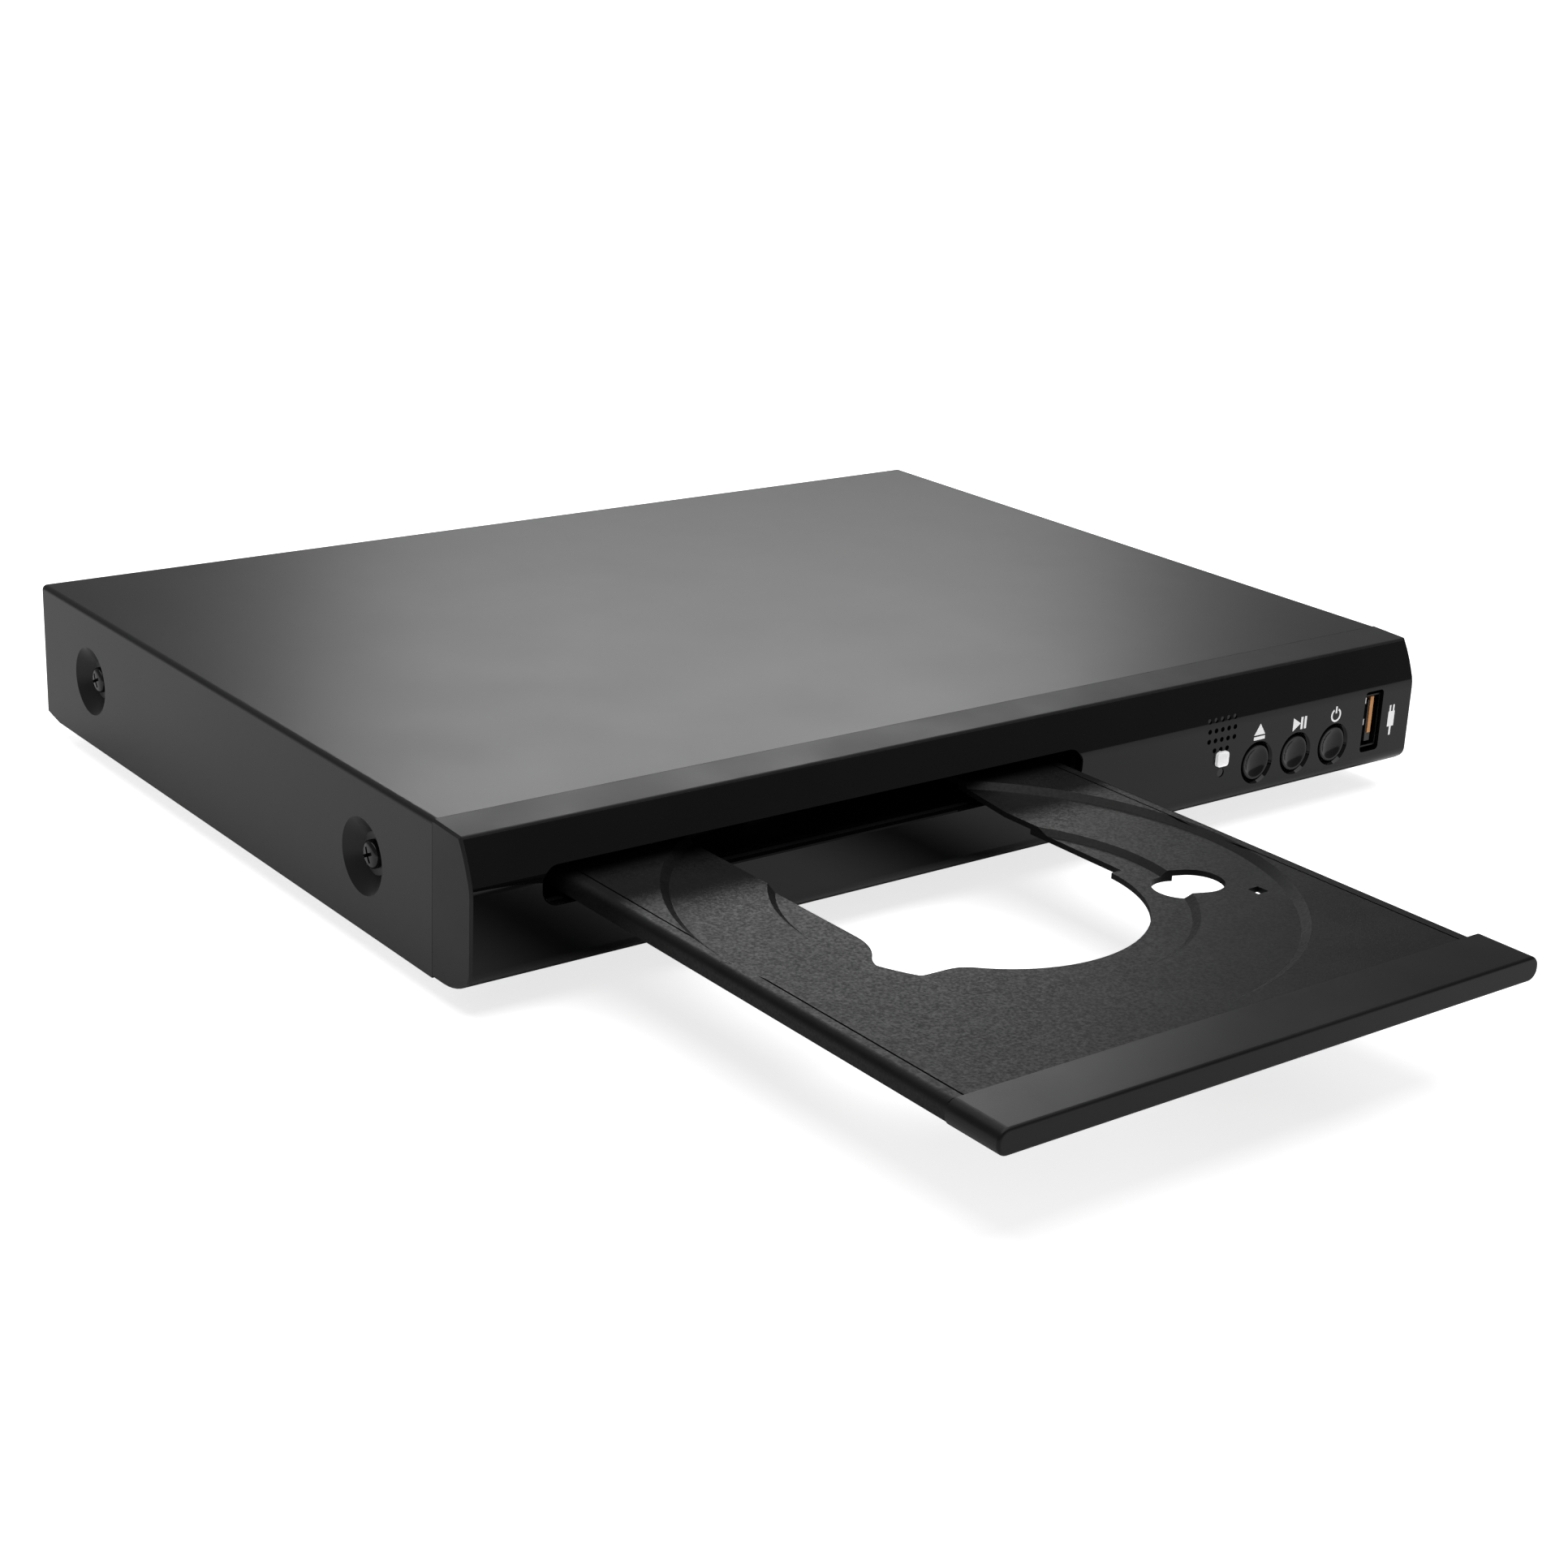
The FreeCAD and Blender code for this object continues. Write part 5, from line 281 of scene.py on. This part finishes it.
# Printed marks: flat pieces that face the front and stand off the lens by their own thickness
mark_depth = 0.00006


def thicken_mark():
    bpy.ops.mesh.extrude_region_move(TRANSFORM_OT_translate={"value": (0, -mark_depth, 0)})
    end_edit()


def flat_triangle(x, z, radius, turn, share):
    bpy.ops.object.select_all(action="DESELECT")
    bpy.ops.mesh.primitive_circle_add(vertices=3, radius=radius, fill_type="NGON",
                                      location=(x, front_y, z), rotation=turn)
    triangle = bpy.context.object
    start_edit()
    bpy.ops.transform.resize(value=share)
    thicken_mark()
    return triangle


def flat_bar(x, z, width, height):
    bpy.ops.object.select_all(action="DESELECT")
    bpy.ops.mesh.primitive_plane_add(size=1, location=(x, front_y, z), rotation=upright)
    bar = bpy.context.object
    start_edit()
    bpy.ops.transform.resize(value=(width, 1, height))
    thicken_mark()
    return bar


def open_ring(x, z, radius, line, half_gap):
    """A ring with a gap at its top."""
    bpy.ops.object.select_all(action="DESELECT")
    bpy.ops.mesh.primitive_circle_add(vertices=48, radius=radius, fill_type="NGON",
                                      location=(x, front_y, z), rotation=upright)
    ring = bpy.context.object
    start_edit()
    bpy.ops.mesh.inset(thickness=line)
    bpy.ops.mesh.delete(type="FACE")
    bpy.ops.object.mode_set(mode="OBJECT")
    for face in ring.data.polygons:
        face.select = abs(face.center.x) < half_gap and face.center.y > 0
    bpy.ops.object.mode_set(mode="EDIT")
    bpy.ops.mesh.delete(type="FACE")
    bpy.ops.mesh.select_all(action="SELECT")
    thicken_mark()
    return ring


def rounded_plate(x, z, width, height, corner):
    """A flat plate whose upright corners are rounded, seen from the front."""
    plate = flat_bar(x, z, width, height)
    bpy.ops.object.mode_set(mode="EDIT")
    bpy.ops.mesh.select_all(action="DESELECT")
    bpy.ops.object.mode_set(mode="OBJECT")
    points = plate.data.vertices
    for edge in plate.data.edges:
        start, end = (points[i].co for i in edge.vertices)
        edge.select = abs((start - end).z) > mark_depth / 2
    bpy.ops.object.mode_set(mode="EDIT")
    bpy.ops.mesh.bevel(offset=corner, segments=5, affect="EDGES")
    end_edit()
    return plate


# The marks take the white print, whose weak glow is painted light
def settle_mark(mark, name):
    settle(mark, name, glowing_print_white, "player_body")


# Dished button caps: the stem and flange from the back, then the rim and dish from the face
button_words = ("eject", "play", "power")
button_x = {}
cap_foot = [(0.0015, 0.0), (0.0015, 0.0008), (0.0054, 0.0008), (0.0054, 0.00175), (0.0042, 0.00175)]
cap_dish = [(0.0042, 0.00028), (0.00412, 0.00008), (0.0039, 0.0), (0.0036, 0.00003), (0.0033, 0.00016),
            (0.0028, 0.00042), (0.0021, 0.00066), (0.0013, 0.00082), (0.0006, 0.00088)]
for word in button_words:
    low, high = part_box("button_" + word)
    button_x[word] = (low[0] + high[0]) / 2
    middle_z = (low[2] + high[2]) / 2
    cap_length = high[1] - low[1]
    cap_steps = cap_foot + [(radius, cap_length - sunk) for radius, sunk in cap_dish]
    cap = ringed(cap_steps, (button_x[word], high[1], middle_z), upright, sides=128)
    settle(cap, "dished_cap_" + word, button_plastic, word + "_body")
    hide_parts("button_" + word)

# The sign over each button: eject, play and pause, power
sign_z = sill_z + 0.0182
eject_x, play_x, power_x = (button_x[word] for word in button_words)
eject_arrow = flat_triangle(eject_x, sign_z + 0.0004, 0.0018, upright, share=(1.15, 1, 1))
eject_line = flat_bar(eject_x, sign_z - 0.0013, width=0.0036, height=0.0008)
settle_mark(join_up([eject_arrow, eject_line]), "sign_eject")
play_arrow = flat_triangle(play_x - 0.0009, sign_z, 0.0017, (math.pi / 2, math.pi / 2, 0), share=(1, 1, 1.1))
pause_lines = [flat_bar(play_x + along, sign_z, width=0.0007, height=0.0030) for along in (0.0012, 0.0024)]
settle_mark(join_up([play_arrow] + pause_lines), "sign_play_pause")
power_ring = open_ring(power_x, sign_z, radius=0.0017, line=0.00045, half_gap=0.0007)
power_line = flat_bar(power_x, sign_z + 0.0013, width=0.0005, height=0.0017)
settle_mark(join_up([power_ring, power_line]), "sign_power")

# The square mark under the receiver's holes, and the plug sign beside the port
square_x = 0.0671
plug_x = 0.1255
mark_z = sill_z + 0.0140
square = rounded_plate(square_x, mark_z, width=0.0036, height=0.0035, corner=0.0008)
settle_mark(square, "square_mark")
plug_shell = flat_bar(plug_x, mark_z, width=0.0022, height=0.0038)
plug_lead = flat_bar(plug_x, mark_z - 0.0030, width=0.0006, height=0.0022)
plug_prongs = [flat_bar(plug_x + side * 0.0006, mark_z + 0.0027, width=0.0005, height=0.0016)
               for side in (-1, 1)]
settle_mark(join_up([plug_shell, plug_lead] + plug_prongs), "sign_port")

# The port's gold contacts on the tongue's end, and the two spring tabs inside its shell
port_inset = 0.0139
port_middle = half_width - port_inset
tongue_low, tongue_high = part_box("usb_tongue")
bevelled_block("tongue_contacts",
               (port_middle - 0.0004, tongue_low[1] - 0.0002, tongue_low[2] + 0.0030),
               (port_middle + 0.0008, tongue_low[1] + 0.0006, tongue_high[2] - 0.0002),
               0.00008, contact_gold)
shell_x, shell_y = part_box("usb_shell")[0][:2]
tab_height = 0.0018
for count, tab_z in enumerate((sill_z + 0.0188, sill_z + 0.0134)):
    bevelled_block("spring_tab_" + str(count + 1),
                   (shell_x + 0.0004, shell_y + 0.0001, tab_z),
                   (shell_x + 0.0012, shell_y + 0.0030, tab_z + tab_height),
                   0.0002, tin_plate)

# Cover screws with cross recesses, four in the side dimples and two through the rear flange
screw_head = [(0.0030, 0.0), (0.0030, 0.0008), (0.00292, 0.0011), (0.0027, 0.00138), (0.0023, 0.0016),
              (0.0016, 0.00174), (0.0008, 0.0018)]
screw_shank = [(0.0015, 0.0), (0.0015, 0.0055), (0.0009, 0.006)]
dimple_depth = 0.003
dimple_z = sill_z + 0.0159
dimple_rows = (joint_y + 0.0275, joint_y + 0.157)
rear_y = joint_y + 0.183
rear_screw_x = 0.1005
rear_screw_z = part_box("cover_screws")[1][2] - screw_head[0][0]
cross_depth = 0.0016


def cross_screw(place, turn):
    head = ringed(screw_head, place, turn, sides=64)
    bars = []
    for angle in (0, math.pi / 2):
        bpy.ops.object.select_all(action="DESELECT")
        bpy.ops.mesh.primitive_cube_add(size=1, location=(0, 0, cross_depth))
        bar = bpy.context.object
        start_edit()
        bpy.ops.transform.resize(value=(0.0034, 0.0007, cross_depth))
        end_edit()
        bar.rotation_euler = (0, 0, angle + math.radians(25))
        bars.append(bar)
    cutter = join_up(bars)
    cutter.matrix_world = head.matrix_world @ cutter.matrix_world
    recess = head.modifiers.new("cross recess", "BOOLEAN")
    recess.operation = "DIFFERENCE"
    recess.object = cutter
    recess.use_self = True
    bpy.ops.object.select_all(action="DESELECT")
    head.select_set(True)
    bpy.context.view_layer.objects.active = head
    bpy.ops.object.modifier_apply(modifier=recess.name)
    bpy.data.objects.remove(cutter)
    return head


screw_seats = []
for row_y in dimple_rows:
    for side in (-1, 1):
        seat = (side * (half_width - dimple_depth), row_y, dimple_z)
        screw_seats.append((seat, (0, side * math.pi / 2, 0), (0, -side * math.pi / 2, 0)))
for side in (-1, 1):
    seat = (side * rear_screw_x, rear_y, rear_screw_z)
    screw_seats.append((seat, (-math.pi / 2, 0, 0), (math.pi / 2, 0, 0)))
screws = [cross_screw(seat, outward) for seat, outward, inward in screw_seats]
shanks = [ringed(screw_shank, seat, inward, sides=32) for seat, outward, inward in screw_seats]
cross_screws = join_up(screws + shanks)
settle(cross_screws, "cross_recess_screws", black_screw, "player_body")
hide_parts("cover_screws")

# The floor and backdrop


def floor_material():
    """Pale floor: it goes over to white away from the player, for the camera alone."""
    material, tree, shader, place = new_material("pale floor")
    cloud = add_noise(tree, place, 0.4, 3.0)
    spread_colour(tree, cloud, grey(0.90), grey(0.93), shader.inputs["Base Color"])
    spread_value(tree, cloud, 0.85, 0.95, shader.inputs["Roughness"])
    shader.inputs["Specular IOR Level"].default_value = 0.1
    distance = tree.nodes.new("ShaderNodeVectorMath")
    distance.operation = "LENGTH"
    tree.links.new(place.outputs["Object"], distance.inputs[0])
    rays = tree.nodes.new("ShaderNodeLightPath")
    for_camera = tree.nodes.new("ShaderNodeMath")
    for_camera.operation = "MULTIPLY"
    spread_value(tree, distance.outputs["Value"], 0.76, 1.1, for_camera.inputs[0], start=0.15, end=0.9)
    tree.links.new(rays.outputs["Is Camera Ray"], for_camera.inputs[1])
    shader.inputs["Emission Color"].default_value = (1, 1, 1, 1)
    tree.links.new(for_camera.outputs["Value"], shader.inputs["Emission Strength"])
    return material


bpy.ops.object.select_all(action="DESELECT")
bpy.ops.mesh.primitive_plane_add(size=12, location=(0, 0, 0))
floor = bpy.context.object
floor.name = "floor"
floor.data.materials.append(floor_material())

# The world is white for the camera, and lights the player at a lower level
world = bpy.data.worlds.new("studio white")
bpy.context.scene.world = world
world.use_nodes = True
world_tree = world.node_tree
background = world_tree.nodes["Background"]
background.inputs["Color"].default_value = (1, 1, 1, 1)
world_rays = world_tree.nodes.new("ShaderNodeLightPath")
spread_value(world_tree, world_rays.outputs["Is Camera Ray"], 0.20, 1.0, background.inputs["Strength"],
             start=0, end=1)


def soft_light(name, place, aim, width, height, power):
    lamp = bpy.data.lights.new(name, "AREA")
    lamp.shape = "RECTANGLE"
    lamp.size = width
    lamp.size_y = height
    lamp.energy = power
    item = bpy.data.objects.new(name, lamp)
    bpy.context.scene.collection.objects.link(item)
    item.location = place
    item.rotation_euler = (Vector(aim) - Vector(place)).to_track_quat("-Z", "Y").to_euler()


soft_light("overhead light", (0, 0.05, 1.5), aim=(0, 0.05, 0), width=2.0, height=2.0, power=24)
soft_light("cover light", (0.690, 0.987, 0.566), aim=(0, 0.02, 0.037), width=0.55, height=0.20,
           power=2.3)

# The camera stands where the photograph was taken from
camera_place = (-0.37614, -0.44370, 0.22037)
camera_right = Vector((0.79604, -0.60361, 0.04453))
camera_up = Vector((0.17134, 0.29532, 0.93991))
camera_back = camera_right.cross(camera_up)
camera_data = bpy.data.cameras.new("camera")
camera = bpy.data.objects.new("camera", camera_data)
bpy.context.scene.collection.objects.link(camera)
camera_turn = Matrix((camera_right, camera_up, camera_back)).transposed().to_4x4()
camera.matrix_world = Matrix.Translation(camera_place) @ camera_turn
camera_data.sensor_width = 36
camera_data.lens = 62.46
camera_data.clip_start = 0.01
bpy.context.scene.camera = camera
bpy.context.scene.view_settings.view_transform = "Standard"
